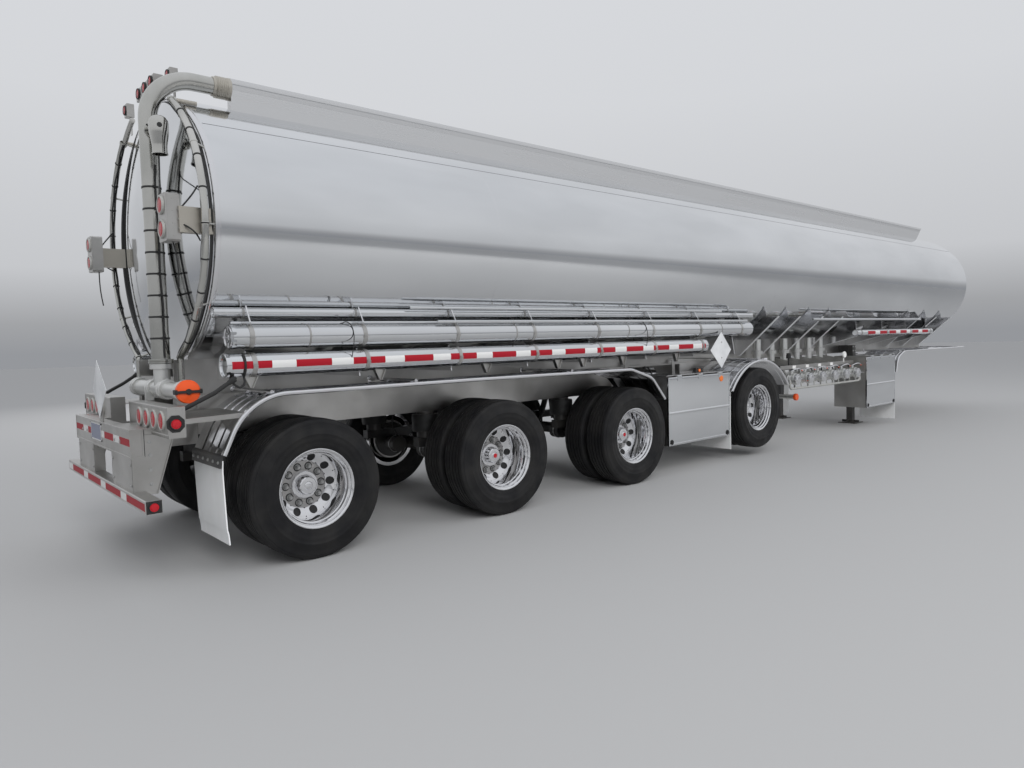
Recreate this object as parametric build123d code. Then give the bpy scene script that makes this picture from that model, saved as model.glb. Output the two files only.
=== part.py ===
"""A quad-axle tanker semi-trailer in polished aluminium, parked on its landing legs.

Sizes are in millimetres. X runs forward and is measured from the rearmost axle, Y runs to the
trailer's left and Z up from the ground. Each piece moves to the row's origin as it is written:
the middle of the trailer's length, on the ground.
"""
from build123d import *
import math
import os

# Overall places along the trailer
AXLE_PITCH = 1830            # between neighbouring axles of the tridem
LIFT_PITCH = 2520            # from the tridem's front axle to the lift axle
LIFT_RAISE = 100             # how far the lift axle is raised off its riding height
SHELL_REAR = -600            # rear rim of the shell
SHELL_FRONT = 14150          # front rim of the shell
REAR_BULGE = 190             # depth of the rear dished head
FRONT_BULGE = 240
BUMPER_REAR = -1168          # rearmost face of the underride bar
HALF_WIDTH = 1295            # 102 inch overall width, halved
GAP = 0.3                    # between curved pieces that only rest on one another
RUN = 0.05                   # radial clearance of a running fit

# Tank section: an oval of four arcs
TANK_HALF_W = 1250
TANK_HALF_H = 1055
TANK_SIDE_R = 900
TANK_Z = 2465
HEAD_INSET = 40
CROWN_Z = TANK_Z + TANK_HALF_H

# Rear bead, drain pipes, rollover rails and roof
BEAD_LEN = 46                # the shell's rolled rear edge
BEAD_ROUND = 30
DRAIN_X = -712               # drain pipes round the sides, behind the bead
DRAIN_R = 23.5
DRAIN_OUT = 17               # pipe's centre line outside the shell's outline
DRAIN_TOP_Y = 690            # where a pipe turns forward onto the roof
DRAIN_LOW_Y = 580            # where it drops below the shell
DRAIN_LOW_Z = 1330
DRAIN_CLIPS = 0.08, 0.3, 0.5, 0.7, 0.92
DRAIN_CLIP_R = 8
DRAIN_HOSE_R = 15
DRAIN_HOSE_END = -540
RAIL_Y = 530
RAIL_W = 80
RAIL_RISE = 120
RAIL_TOP = CROWN_Z + RAIL_RISE
RAIL_REAR = -240
RAIL_FRONT = 13700
RAIL_NOSE_CUT = 360          # how far the underside of the rail's nose lies behind its top
COMPARTMENTS = 6
NECK_R = 254
NECK_FLANGE_R = 285
NECK_RISE = 60
NECK_TOP = CROWN_Z + NECK_RISE
NECK_FLANGE_T = 14
LID_R = 280
LID_T = 22
LID_CROWN_R = 170
LID_CROWN_T = 14
HINGE_R = 9
HINGE_REACH = 318            # hinge line behind the centre of the neck
EAR_Y = 70
EAR_T = 14
VENT_R = 80
VENT_RISE = 26               # above the necks
VENT_TOP = NECK_TOP + VENT_RISE
VENT_AHEAD = 560             # vent hood ahead of the centre of its neck
CROSS_R = 34

# Frame, coupler and landing gear
FRAME_Y = 480
FRAME_WEB = 12
FRAME_FLANGE_W = 110
FRAME_FLANGE_T = 14
FRAME_Z = 1215               # underside of the frame
FRAME_REAR = -740
CROSS_X = (-695, -250, 515, 1200, 2350, 3000, 4180, 5000, 6800, 8200, 9700, 11200, 13780)
BOGIE_X = (-600, 4330)       # deep beams over the tridem
BOGIE_Z = 930
LIFT_BEAM_X = (5480, 7000)   # beams over the lift axle
LIFT_BEAM_Z = 1040
BEAM_W = 110
LOW_CROSS = ((-480, 930), (900, 930), (2750, 930), (5620, 1040), (6780, 1040))
OUTRIGGER_X = (6900, 7500, 8200, 8850, 12000, 12800, 13600)
FRAME_FRONT = 13850
SADDLE_TOP = 1600            # the webs are drawn up to here, then trimmed by the shell
CROSS_H = 150
COUPLER_X = 12250, 13820
COUPLER_Y = 510
COUPLER_T = 14
KINGPIN_X = 13020
KINGPIN_R = 25.4
KINGPIN_COLLAR_R = 36.5
KINGPIN_FOOT_R = 35.7
KINGPIN_STEPS = 35, 35, 14   # collar, neck and foot heights, going down
LEG_X = 10240
LEG_Y = 660
LEG_W = 120
LEG_INNER_W = 100
LEG_SPLIT_Z = 420
FOOT_W = 300
FOOT_T = 16

# Wheels, tyres and axles
TYRE_R = 522
TYRE_W = 279
DUAL_SPACING = 318
BEAD_R = 284
FLANGE_R = 298.5
RIM_W = 230
RIM_LIP = 12
DISC_T = 22
HUB_FLAT_R = 178
HUB_R = 104
HAND_HOLES = 10
HAND_HOLE_R = 30
HAND_HOLE_PCR = 213
CAP_R = 70
CAP_END = 122                # hub cap's outer end beyond the mounting face
DRUM_R = 212
DRUM_IN = 705                # inboard face of the drum
SPINDLE_R = 45
SPINDLE_END = 60             # beyond the mounting face
AXLE_R = 63.5
BACKPLATE_R = 190
BACKPLATE_T = 8
BACKPLATE_GAP = 7
KNUCKLE_Y = 628              # kingpin of the steered axle
STEER_PIN_R = 20
STEER_EYE_H = 70
STEER_EAR_T = 30
STEER_ARM = 260
TIE_ROD_R = 19

# Suspension
SEAT_TOP = 73                # spring seat above the axle's centre
ARM_H = 85
ARM_W = 90
HANGER_AHEAD = 430, 600
BAG_BEHIND = 330
BAG_R = 125
PEDESTAL_R = 85
PEDESTAL_H = 60
BAG_CAP = 24

# Fenders and flaps
SHEET_T = 4
BEAD_TUBE_R = 17
FENDER_IN = 660
FENDER_BEND = 230
SHELF_Z = 1100               # strip from the lamp panel to the rear fender
TRIDEM_FENDER = ((-625, 862), (-545, 1150), (-70, 1292), (3590, 1276), (3965, 1155), (4200, 885))
FENDER_CUTS = -360, 3777     # where the tridem fender's three lengths meet
FRONT_FENDER = ((10592, 870), (10650, 1120), (10930, 1214), (13900, 1214))
LIFT_FENDER_HALF = 690
LIFT_FENDER_END_Z = 875
LIFT_FENDER_TOP = 1232
LIFT_FENDER_AHEAD = 40       # fender's middle ahead of the raised axle
STAY_R = 16
TRIDEM_STAYS = (-300, 1247), (915, 1304), (2745, 1295), (3850, 1212)
FLAP_T = 8
FLAP_Y = 665, 1250
REAR_FLAP_Z = 200, 790
REAR_FLAP_LEAN = 90
FLAP_LOW_Z = {"lift": 150, "front": 75}
FLAP_SEAT = 1.2              # flap's top edge below the end of its fender's sheet

# Side tubes, as (name, y, z, radius, x from, x to) on the right side
HOSE_TUBE = (1135, 1650, 87, -550, 6130)
TAPE_TUBE = (1165, 1455, 84, -610, 5080)
FRONT_TUBE = (1165, 1555, 50, 9250, 12450)
TOP_TUBE = (1052, 1826, 38, -625, 6350)
THIN_TUBES = (
    (1088, 1750, 14, -520, 6200),
    (1120, 1872, 15, 950, 5550),
    (1190, 1752, 15, 1180, 6020),
    (1120, 1772, 20, 7950, 12080),
)
BRACKET_X = (-420, 470, 1370, 2270, 3170, 4070, 4970, 5870)
FRONT_BRACKET_X = (9400, 10400, 11400, 12350)
BRACKET_T = 10
BRACKET_JOIN_Z = 1736.5      # where the upper bracket plates stand on the lower ones
TUBE_LID_T = 10
TUBE_LID_HINGE_R = 6
TUBE_HINGE_BACK = 12.5       # lid's hinge line behind the hose tube's rear end

# Cabinets, as x from, x to, z from, z to, inner y
MID_CABINET = (4250, 5488, 335, 1130, 770)
FRONT_CABINET = (9440, 10556, 350, 1182, 745)
CABINET_Y = 1270
CABINET_WALL = 5
DOOR_T = 22
DOOR_GAP = 5
DOOR_HINGE_R = 7
DOOR_HINGE_LEN = 90

# Discharge manifold
OUTLET_X = 7250
OUTLET_PITCH = 385
OUTLET_Z = 930
OUTLET_FACE = 1215
OUTLET_R = 52
OUTLET_FLANGE_R = 84
OUTLET_FLANGE_T = 24
DROP_Y = 625
DROP_BEND = 120
GUARD_Z = 800
GUARD_R = 16

# Rear pipe, lamps and guard
PIPE_X = -832
PIPE_R = 63.5
PIPE_RISE = 42
PIPE_TOP = CROWN_Z + PIPE_RISE
PIPE_BEND = 330
PIPE_COLLAR_LEN = 130
TEE_Z = 1290
TEE_R = 57
TEE_RIGHT = 1130
TEE_LEFT = 140
TEE_COUPLING_R = 72
TEE_COUPLING_LEN = 92
CAP_OUT_R = 80
COWL_Z = 3140                # height of the cowl's arm
COWL_REACH = 190             # cowl's middle from the pipe's side
COWL_R = 64
COWL_MOUTH_R = 49
COWL_ABOVE = 56
COWL_BELOW = 210
LAMP_R = 54
LAMP_T = 14
PANEL_X = -1010, -900
PANEL_Y = 300, 1262
PANEL_Z = 1000, 1204
UPPER_BEAM_X = -1153, -1068
UPPER_BEAM_Y = 892
UPPER_BEAM_Z = 850, 1042
GUARD_BAR_X = BUMPER_REAR, -1068
GUARD_BAR_Y = 1262
GUARD_BAR_Z = 530, 618
POST_Y = 300, 880
SIDE_BOX_X = -935, -845
SIDE_BOX_Y = 1025, 1190
SIDE_BOX_Z = 2285, 2595
SIDE_LAMPS = 0.26, 0.76      # lamp centres as shares of the box's height
MARKER_R = 38
TOP_LAMP_X = -700
TOP_LAMP_R = 40
TOP_LAMP_PITCH = 174
TOP_LAMP_Z = CROWN_Z + 108
CLEAR_LAMP_X = -690, -630
CLEAR_LAMP_Y = 603, 687
CLEAR_LAMP_Z = CROWN_Z + 45, CROWN_Z + 155
CLEAR_POST_Y = 620, 650
PLACARD_HALF = 225
PLACARD_T = 4

NOSE_X = SHELL_FRONT + FRONT_BULGE
MID_X = (NOSE_X + BUMPER_REAR) / 2
AXLES = (("1", 0, 0), ("2", AXLE_PITCH, 0), ("3", 2 * AXLE_PITCH, 0),
         ("4", 2 * AXLE_PITCH + LIFT_PITCH, LIFT_RAISE))
OUTER_C = HALF_WIDTH - TYRE_W / 2
INNER_C = OUTER_C - DUAL_SPACING
MOUNT_Y = (OUTER_C + INNER_C) / 2
SIDES = (("right", -1), ("left", 1))


def block(x, y, z):
    """A box between pairs of limits along each axis."""
    size = [abs(b - a) for a, b in (x, y, z)]
    middle = [(a + b) / 2 for a, b in (x, y, z)]
    return Pos(*middle) * Box(*size)


def rod(start, end, radius):
    """A round bar between two points."""
    start, end = Vector(*start), Vector(*end)
    way = end - start
    return extrude(Plane(origin=start, z_dir=way) * Circle(radius), way.length)


def ring(start, end, radius, bore):
    """A round tube between two points."""
    return rod(start, end, radius) - rod(start, end, bore)


def plate(points, x_from, x_to):
    """A flat plate across the trailer, drawn as y, z points."""
    face = make_face(Plane.YZ.offset(x_from) * Polyline(*points, close=True))
    return extrude(face, x_to - x_from, dir=(1, 0, 0))


def side_plate(points, y_from, y_to):
    """A flat plate along the trailer, drawn as x, z points."""
    outline = Polyline(*[(x, y_from, z) for x, z in points], close=True)
    return extrude(make_face(outline), abs(y_to - y_from), dir=(0, 1 if y_to > y_from else -1, 0))


def both(shape):
    """The shape and its mirror image across the trailer's middle plane."""
    return [shape, mirror(shape, about=Plane.XZ)]


def on_side(shape, side):
    """A shape drawn on the left, placed on the side asked for."""
    return shape if side > 0 else mirror(shape, about=Plane.XZ)


def oval_numbers(inset=0.0):
    """Half width, half height, crown radius, its centre's drop, and where crown and side meet."""
    side_r = TANK_SIDE_R - inset
    half_w, half_h = TANK_HALF_W - inset, TANK_HALF_H - inset
    side_c = half_w - side_r
    drop = (side_c ** 2 - (half_h - side_r) ** 2) / (2 * (half_h - side_r))
    crown_r = half_h + drop
    reach = math.hypot(side_c, drop)
    return half_w, half_h, crown_r, drop, crown_r * side_c / reach, crown_r * drop / reach - drop


def belly_z(y, inset=0.0):
    """Height of the section's underside at y."""
    _, _, crown_r, drop, _, _ = oval_numbers(inset)
    return TANK_Z + drop - math.sqrt(crown_r ** 2 - y ** 2)


def oval_face(x, inset=0.0):
    """The tank's section at x, as four tangent arcs, drawn in by an inset."""
    half_w, half_h, _, _, ty, tz = oval_numbers(inset)
    at = Plane.YZ.offset(x)
    points = [(ty, -tz), (half_w, 0), (ty, tz), (0, half_h), (-ty, tz), (-half_w, 0), (-ty, -tz),
              (0, -half_h)]
    arcs = [ThreePointArc(*[(points[(i + k) % 8][0], points[(i + k) % 8][1] + TANK_Z) for k in (0, 1, 2)])
            for i in (0, 2, 4, 6)]
    return make_face([at * arc for arc in arcs])


def oval_bar(x_from, x_to, inset=0.0):
    """A bar of the tank's section between two stations."""
    return extrude(oval_face(x_from, inset), x_to - x_from, dir=(1, 0, 0))


def head(x, bulge, way):
    """A dished head: the shell's section cut by a sphere that meets its sides at x."""
    half_w = TANK_HALF_W - HEAD_INSET
    radius = (half_w ** 2 + bulge ** 2) / (2 * bulge)
    bar = oval_bar(x, x + way * bulge * 1.05, HEAD_INSET)
    return bar & (Pos(x + way * (bulge - radius), 0, TANK_Z) * Sphere(radius))


def tank():
    return oval_bar(SHELL_REAR, SHELL_FRONT) + head(SHELL_REAR, REAR_BULGE, -1) \
        + head(SHELL_FRONT, FRONT_BULGE, 1)


SHELL_TOOL = oval_bar(SHELL_REAR - 1, SHELL_FRONT + 1)


def head_tool():
    return head(SHELL_REAR, REAR_BULGE, -1)


def rear_ring():
    """The rounded bead where the shell is rolled over the edge of the rear head."""
    bar = oval_bar(SHELL_REAR - BEAD_LEN, SHELL_REAR)
    bar = fillet(bar.faces().sort_by(Axis.X)[0].edges(), BEAD_ROUND)
    return bar - oval_bar(SHELL_REAR - BEAD_LEN - 1, SHELL_REAR + 1, HEAD_INSET)


BEAD = rear_ring()


def rollover_rail(side):
    low = RAIL_TOP - 300
    slope = RAIL_NOSE_CUT / 300
    points = [(RAIL_REAR, low), (RAIL_REAR, RAIL_TOP), (RAIL_FRONT, RAIL_TOP),
              (RAIL_FRONT - slope * 300, low)]
    bar = side_plate(points, RAIL_Y - RAIL_W / 2, RAIL_Y + RAIL_W / 2)
    return on_side(bar - SHELL_TOOL, side)


def neck_stations():
    pitch = (SHELL_FRONT - SHELL_REAR) / COMPARTMENTS
    return [SHELL_REAR + pitch * (i + 0.5) for i in range(COMPARTMENTS)]


HINGE_Z = NECK_TOP + LID_T / 2 + 4


def dome_necks():
    """The manhole necks, each with two hinge ears and the pin between them."""
    pieces = []
    for x in neck_stations():
        neck = Pos(x, 0, 0) * rod((0, 0, NECK_TOP - 260), (0, 0, NECK_TOP), NECK_R) - SHELL_TOOL
        flange = rod((x, 0, NECK_TOP - NECK_FLANGE_T), (x, 0, NECK_TOP), NECK_FLANGE_R)
        back = x - HINGE_REACH
        base = block((back - 16, x - NECK_R), (-EAR_Y - EAR_T, EAR_Y + EAR_T),
                     (NECK_TOP - NECK_FLANGE_T, NECK_TOP - 2))
        for y in (-EAR_Y - EAR_T, EAR_Y):
            base += block((back - 16, back + 16), (y, y + EAR_T), (NECK_TOP - 2, HINGE_Z + 14))
        pin = rod((back, -EAR_Y - EAR_T, HINGE_Z), (back, EAR_Y + EAR_T, HINGE_Z), HINGE_R)
        pieces.append(neck + flange + base + pin)
    return pieces


def dome_lid(x):
    """A lid: a dished cover with a raised crown and its hinge knuckle."""
    z = NECK_TOP + GAP
    cover = rod((x, 0, z), (x, 0, z + LID_T), LID_R)
    cover += Pos(x, 0, z + LID_T) * extrude(Circle(LID_CROWN_R), LID_CROWN_T, taper=25)
    back = x - HINGE_REACH
    tongue = block((back, x - LID_R + 60), (-EAR_Y + 6, EAR_Y - 6), (HINGE_Z - 8, HINGE_Z + 8))
    knuckle = rod((back, -EAR_Y + 6, HINGE_Z), (back, EAR_Y - 6, HINGE_Z), HINGE_R + 6)
    bore = rod((back, -EAR_Y, HINGE_Z), (back, EAR_Y, HINGE_Z), HINGE_R + RUN)
    return cover + tongue + knuckle - bore


def roof_vents():
    """A vapour hood for each compartment, piped across to the right rail."""
    pieces = []
    for x in neck_stations():
        at = x + VENT_AHEAD
        hood = rod((at, 0, NECK_TOP - 260), (at, 0, VENT_TOP), VENT_R)
        hood += rod((at, 0, VENT_TOP - 30), (at, 0, VENT_TOP), VENT_R + 22)
        pipe = rod((at, 0, NECK_TOP - 10), (at, -RAIL_Y + RAIL_W / 2, NECK_TOP - 10), CROSS_R)
        pieces.append(hood + pipe - SHELL_TOOL)
    return pieces


def vapour_pipe():
    """From the right rail's rear end over the ring and down the rear head to its flange."""
    y = -RAIL_Y
    centre = PIPE_X + PIPE_BEND
    foot = TEE_Z + TEE_R + 130
    down = rod((PIPE_X, y, foot), (PIPE_X, y, PIPE_TOP - PIPE_BEND), PIPE_R)
    bend = revolve(Plane(origin=(PIPE_X, y, PIPE_TOP - PIPE_BEND), z_dir=(0, 0, 1)) * Circle(PIPE_R),
                   Axis((centre, y, PIPE_TOP - PIPE_BEND), (0, 1, 0)), 90)
    top = rod((centre, y, PIPE_TOP), (RAIL_REAR, y, PIPE_TOP), PIPE_R)
    collar = rod((RAIL_REAR - PIPE_COLLAR_LEN, y, PIPE_TOP), (RAIL_REAR, y, PIPE_TOP), PIPE_R + 20)
    flange = rod((PIPE_X, y, foot), (PIPE_X, y, foot + 32), PIPE_R + 22)
    return down + bend + top + collar + flange


def vapour_tee():
    """The tee below the rear pipe: a level run with couplings and a capped right end."""
    y = -RAIL_Y
    foot = TEE_Z + TEE_R + 130
    run = rod((PIPE_X, -TEE_RIGHT + 40, TEE_Z), (PIPE_X, TEE_LEFT, TEE_Z), TEE_R)
    run += rod((PIPE_X, y, TEE_Z), (PIPE_X, y, foot), TEE_R)
    run += rod((PIPE_X, y, foot - 40), (PIPE_X, y, foot), PIPE_R + 16)
    for start in (-TEE_RIGHT + 40, y - 60 - TEE_COUPLING_LEN, y + 150, TEE_LEFT - TEE_COUPLING_LEN):
        run += rod((PIPE_X, start, TEE_Z), (PIPE_X, start + TEE_COUPLING_LEN, TEE_Z), TEE_COUPLING_R)
    stand = block((PANEL_X[1] - 20, PIPE_X - TEE_R + 25), (-420, -380), (PANEL_Z[1], TEE_Z))
    cap = rod((PIPE_X, -TEE_RIGHT, TEE_Z), (PIPE_X, -TEE_RIGHT + 40, TEE_Z), CAP_OUT_R)
    bar = block((PIPE_X - 92, PIPE_X + 92), (-TEE_RIGHT - 16, -TEE_RIGHT), (TEE_Z - 9, TEE_Z + 9))
    return run + stand + cap + bar


def vent_cowl():
    """The down-turned vent beside the rear pipe, held by a flanged arm."""
    side = -RAIL_Y - PIPE_R
    y = side - COWL_REACH
    top, low = COWL_Z + COWL_ABOVE, COWL_Z - COWL_BELOW
    neck = low + 60
    outline = Polyline((0, top), (COWL_R * 0.55, top - 6), (COWL_R, top - 44), (COWL_R, COWL_Z - 50),
                       (COWL_MOUTH_R, neck), (COWL_MOUTH_R, low + 12), (COWL_MOUTH_R + 3, low), (0, low), (0, top))
    hood = Pos(PIPE_X, y, 0) * revolve(Plane.XZ * make_face(outline), Axis.Z)
    arm = rod((PIPE_X, side + PIPE_R, COWL_Z), (PIPE_X, y, COWL_Z), 34)
    flange = rod((PIPE_X, side - 24, COWL_Z), (PIPE_X, side - 8, COWL_Z), 52)
    pipe = rod((PIPE_X, -RAIL_Y, COWL_Z - 100), (PIPE_X, -RAIL_Y, COWL_Z + 100), PIPE_R + GAP)
    return arm + flange + hood - pipe


def lamp_boxes():
    """Housings of the upper side lamps and the tail lamp panels, on both sides."""
    x0, x1 = SIDE_BOX_X
    y0, y1 = SIDE_BOX_Y
    z0, z1 = SIDE_BOX_Z
    box = block((x0, x1), (y0, y1), (z0, z1))
    strap = block((x1, SHELL_REAR), (y1 - 30, y1 + 22), (z0 + 55, z1 - 85))
    box += strap - BEAD - head_tool()
    px0, px1 = PANEL_X
    panel = block((px0, px1), PANEL_Y, PANEL_Z)
    panel += block((UPPER_BEAM_X[1], px0), (PANEL_Y[0], UPPER_BEAM_Y - 20), (PANEL_Z[0], UPPER_BEAM_Z[1]))
    return both(box) + both(panel)


def round_lamp_x(x, y, z, radius, thick):
    """A round lamp that faces the rear, its back at x."""
    return rod((x, y, z), (x - thick, y, z), radius)


def lamps():
    """Every lamp lens, standing on its housing."""
    pieces = []
    y_in, y_out = PANEL_Y
    pitch = 180
    for i in range(4):
        y = y_out - 130 - i * pitch
        pieces += both(round_lamp_x(PANEL_X[0], y, sum(PANEL_Z) / 2 + 8, LAMP_R, LAMP_T))
    for share in SIDE_LAMPS:
        z = SIDE_BOX_Z[0] + share * (SIDE_BOX_Z[1] - SIDE_BOX_Z[0])
        pieces += both(round_lamp_x(SIDE_BOX_X[0], sum(SIDE_BOX_Y) / 2, z, LAMP_R + 8, LAMP_T))
    marker_x, marker_z = sum(PANEL_X) / 2 - 8, sum(PANEL_Z) / 2 - 8
    marker = rod((marker_x, y_out, marker_z), (marker_x, y_out + 24, marker_z), MARKER_R)
    pieces += both(marker)
    end = rod((sum(GUARD_BAR_X) / 2, GUARD_BAR_Y, sum(GUARD_BAR_Z) / 2),
              (sum(GUARD_BAR_X) / 2, GUARD_BAR_Y + 12, sum(GUARD_BAR_Z) / 2), 30)
    pieces += both(end)
    for y in (-TOP_LAMP_PITCH, 0, TOP_LAMP_PITCH):
        pieces.append(round_lamp_x(TOP_LAMP_X, y, TOP_LAMP_Z, TOP_LAMP_R, LAMP_T))
    pieces += both(round_lamp_x(CLEAR_LAMP_X[0], sum(CLEAR_LAMP_Y) / 2, sum(CLEAR_LAMP_Z) / 2, TOP_LAMP_R, LAMP_T))
    return pieces


def top_lamp_bar():
    """The housing of the three top lamps, on its foot over the rear bead."""
    low, high = TOP_LAMP_Z - 48, TOP_LAMP_Z + 44
    bar = block((TOP_LAMP_X, TOP_LAMP_X + 70), (-TOP_LAMP_PITCH - 70, TOP_LAMP_PITCH + 70), (low, high))
    foot = block((SHELL_REAR - BEAD_LEN - 10, SHELL_REAR + 30), (-200, 200), (CROWN_Z - 40, low))
    return bar + (foot - BEAD - SHELL_TOOL - head_tool())


def clearance_box():
    """The left clearance lamp's housing, on its post over the rear bead."""
    box = block(CLEAR_LAMP_X, CLEAR_LAMP_Y, CLEAR_LAMP_Z)
    post = block((SHELL_REAR - BEAD_LEN, SHELL_REAR - 5), CLEAR_POST_Y, (CROWN_Z - 200, CLEAR_LAMP_Z[0]))
    return box + (post - BEAD - head_tool())


def drain_pipe():
    """The left drain pipe: off the roof, round the side behind the bead, and down below the shell."""
    half_w, _, _, _, ty, tz = oval_numbers(-DRAIN_OUT)
    low_y, top_y = DRAIN_LOW_Y, DRAIN_TOP_Y
    below = {y: belly_z(y, -DRAIN_OUT) for y in (low_y, (low_y + ty) / 2, (top_y + ty) / 2, top_y)}
    above = {y: 2 * TANK_Z - z for y, z in below.items()}
    low_mid, top_mid = (low_y + ty) / 2, (top_y + ty) / 2
    rounds = [
        ((low_y, below[low_y]), (low_mid, below[low_mid]), (ty, TANK_Z - tz)),
        ((ty, TANK_Z - tz), (half_w, TANK_Z), (ty, TANK_Z + tz)),
        ((ty, TANK_Z + tz), (top_mid, above[top_mid]), (top_y, above[top_y])),
    ]
    at = Plane.YZ.offset(DRAIN_X)
    path = Wire([at * ThreePointArc(*points) for points in rounds])
    pipe = sweep(Plane(origin=path @ 0, z_dir=path % 0) * Circle(DRAIN_R), path=path)
    for end in (path @ 0, path @ 1):
        pipe += Pos(end) * Sphere(DRAIN_R)
    hose_end = (DRAIN_HOSE_END, top_y, above[top_y])
    pipe += rod((DRAIN_X, top_y, above[top_y]), hose_end, DRAIN_HOSE_R)
    pipe += rod((DRAIN_X, low_y, DRAIN_LOW_Z), (DRAIN_X, low_y, below[low_y]), DRAIN_R)
    for share in DRAIN_CLIPS:
        spot, way = path @ share, path % share
        inward = Vector(0, -way.Z, way.Y) * (DRAIN_OUT + BEAD_ROUND * 0.6)
        seat = spot + inward + Vector(SHELL_REAR - BEAD_LEN + 6 - DRAIN_X, 0, 0)
        pipe += rod(spot, seat, DRAIN_CLIP_R) - BEAD
    return pipe


def rear_guard():
    """The upper beam, its posts and the underride bar."""
    x0, x1 = UPPER_BEAM_X
    beam = block((x0, x1), (-UPPER_BEAM_Y, UPPER_BEAM_Y), UPPER_BEAM_Z)
    beam += block(GUARD_BAR_X, (-GUARD_BAR_Y, GUARD_BAR_Y), GUARD_BAR_Z)
    for side in (-1, 1):
        ya, yb = sorted((side * POST_Y[0], side * POST_Y[1]))
        beam += block((x0 + 8, x1), (ya, yb), (GUARD_BAR_Z[1], UPPER_BEAM_Z[0]))
        top = PANEL_Z[0]
        outline = [(x1, 590), (x1, top), (-880, top), (-880, top - 30), (x1 + 70, 590)]
        y_out = side * POST_Y[1]
        beam += side_plate(outline, y_out, y_out - side * 12)
        arm_y = sorted((side * (FRAME_Y - 45), side * (FRAME_Y + 45)))
        beam += block((x1, BOGIE_X[0]), arm_y, (860, 985))
        beam += block((FRAME_REAR, BOGIE_X[0]), arm_y, (985, FRAME_Z))
    return beam


def frame_rail(side):
    """One rail: its web trimmed to the shell, its flange, and the deeper beams over the axles."""
    y = side * FRAME_Y
    length = (FRAME_REAR, FRAME_FRONT)
    rail = block(length, (y - FRAME_WEB / 2, y + FRAME_WEB / 2), (FRAME_Z, SADDLE_TOP))
    rail += block(length, (y - FRAME_FLANGE_W / 2, y + FRAME_FLANGE_W / 2), (FRAME_Z, FRAME_Z + FRAME_FLANGE_T))
    for (x0, x1), low in ((BOGIE_X, BOGIE_Z), (LIFT_BEAM_X, LIFT_BEAM_Z)):
        slope = FRAME_Z - low
        outline = [(x0, FRAME_Z), (x0, low), (x1 - slope, low), (x1, FRAME_Z)]
        rail += side_plate(outline, y - BEAM_W / 2, y + BEAM_W / 2)
    return rail - SHELL_TOOL - head_tool() - oval_bar(FRAME_REAR - 1, SHELL_REAR)


def cross_members():
    """Beams between the two rails, under the shell and across the axle beams."""
    reach = FRAME_Y - FRAME_WEB / 2
    low_reach = FRAME_Y - BEAM_W / 2
    beams = []
    for x in CROSS_X:
        beam = block((x - 40, x + 40), (-reach, reach), (FRAME_Z + FRAME_FLANGE_T, FRAME_Z + CROSS_H))
        beams.append(beam - SHELL_TOOL)
    for x, low in LOW_CROSS:
        beams.append(block((x - 50, x + 50), (-low_reach, low_reach), (low, low + CROSS_H)))
    return beams


def outrigger(x):
    """A slanted gusset plate from the rail up the side of the shell, on the left."""
    web = FRAME_Y + FRAME_WEB / 2
    points = [(web, FRAME_Z + 60), (FRAME_Y + 60, FRAME_Z + 60), (1150, 1810), (900, 1810), (web, SADDLE_TOP)]
    piece = plate(points, x - 4, x + 4) - SHELL_TOOL
    for spec in (THIN_TUBES[3], FRONT_TUBE):
        piece -= rod((x - 9, spec[0], spec[1]), (x + 9, spec[0], spec[1]), spec[2] + GAP)
    return piece




def coupler():
    """The upper coupler plate with its kingpin."""
    top = FRAME_Z
    plate_z = top - COUPLER_T
    shape = block(COUPLER_X, (-COUPLER_Y, COUPLER_Y), (plate_z, top))
    z = plate_z
    for height, radius in zip(KINGPIN_STEPS, (KINGPIN_COLLAR_R, KINGPIN_R, KINGPIN_FOOT_R)):
        shape += rod((KINGPIN_X, 0, z - height), (KINGPIN_X, 0, z), radius)
        z -= height
    return shape


def landing_gear():
    """Two telescopic legs on sand shoes, joined by a cross shaft, with a crank gearbox."""
    shape = rod((LEG_X, -LEG_Y, 1010), (LEG_X, LEG_Y, 1010), 22)
    for side in (-1, 1):
        y = side * LEG_Y
        half, inner, foot = LEG_W / 2, LEG_INNER_W / 2, FOOT_W / 2
        shape += block((LEG_X - half, LEG_X + half), (y - half, y + half), (LEG_SPLIT_Z, 1205))
        shape += block((LEG_X - inner, LEG_X + inner), (y - inner, y + inner), (FOOT_T, LEG_SPLIT_Z))
        shape += block((LEG_X - foot, LEG_X + foot), (y - foot, y + foot), (0, FOOT_T))
        reach = sorted((side * (FRAME_Y + FRAME_WEB / 2), y))
        shape += block((LEG_X - 70, LEG_X + 70), reach, (FRAME_Z + FRAME_FLANGE_T, FRAME_Z + 130))
        shape += block((LEG_X - half, LEG_X + half), (y - half, y + half), (1205, FRAME_Z + 130))
        brace = rod((LEG_X + 520, side * FRAME_Y, FRAME_Z - 22), (LEG_X, y - side * 20, 560), 22)
        shape += brace
    return shape


def lateral(profile, side):
    """Spins a closed profile of (distance from the middle plane, radius) points about the axle."""
    face = make_face(Polyline(*[(0, s, r) for s, r in profile], close=True))
    return on_side(revolve(face, Axis((0, 0, 0), (0, 1, 0))), side)


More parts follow.
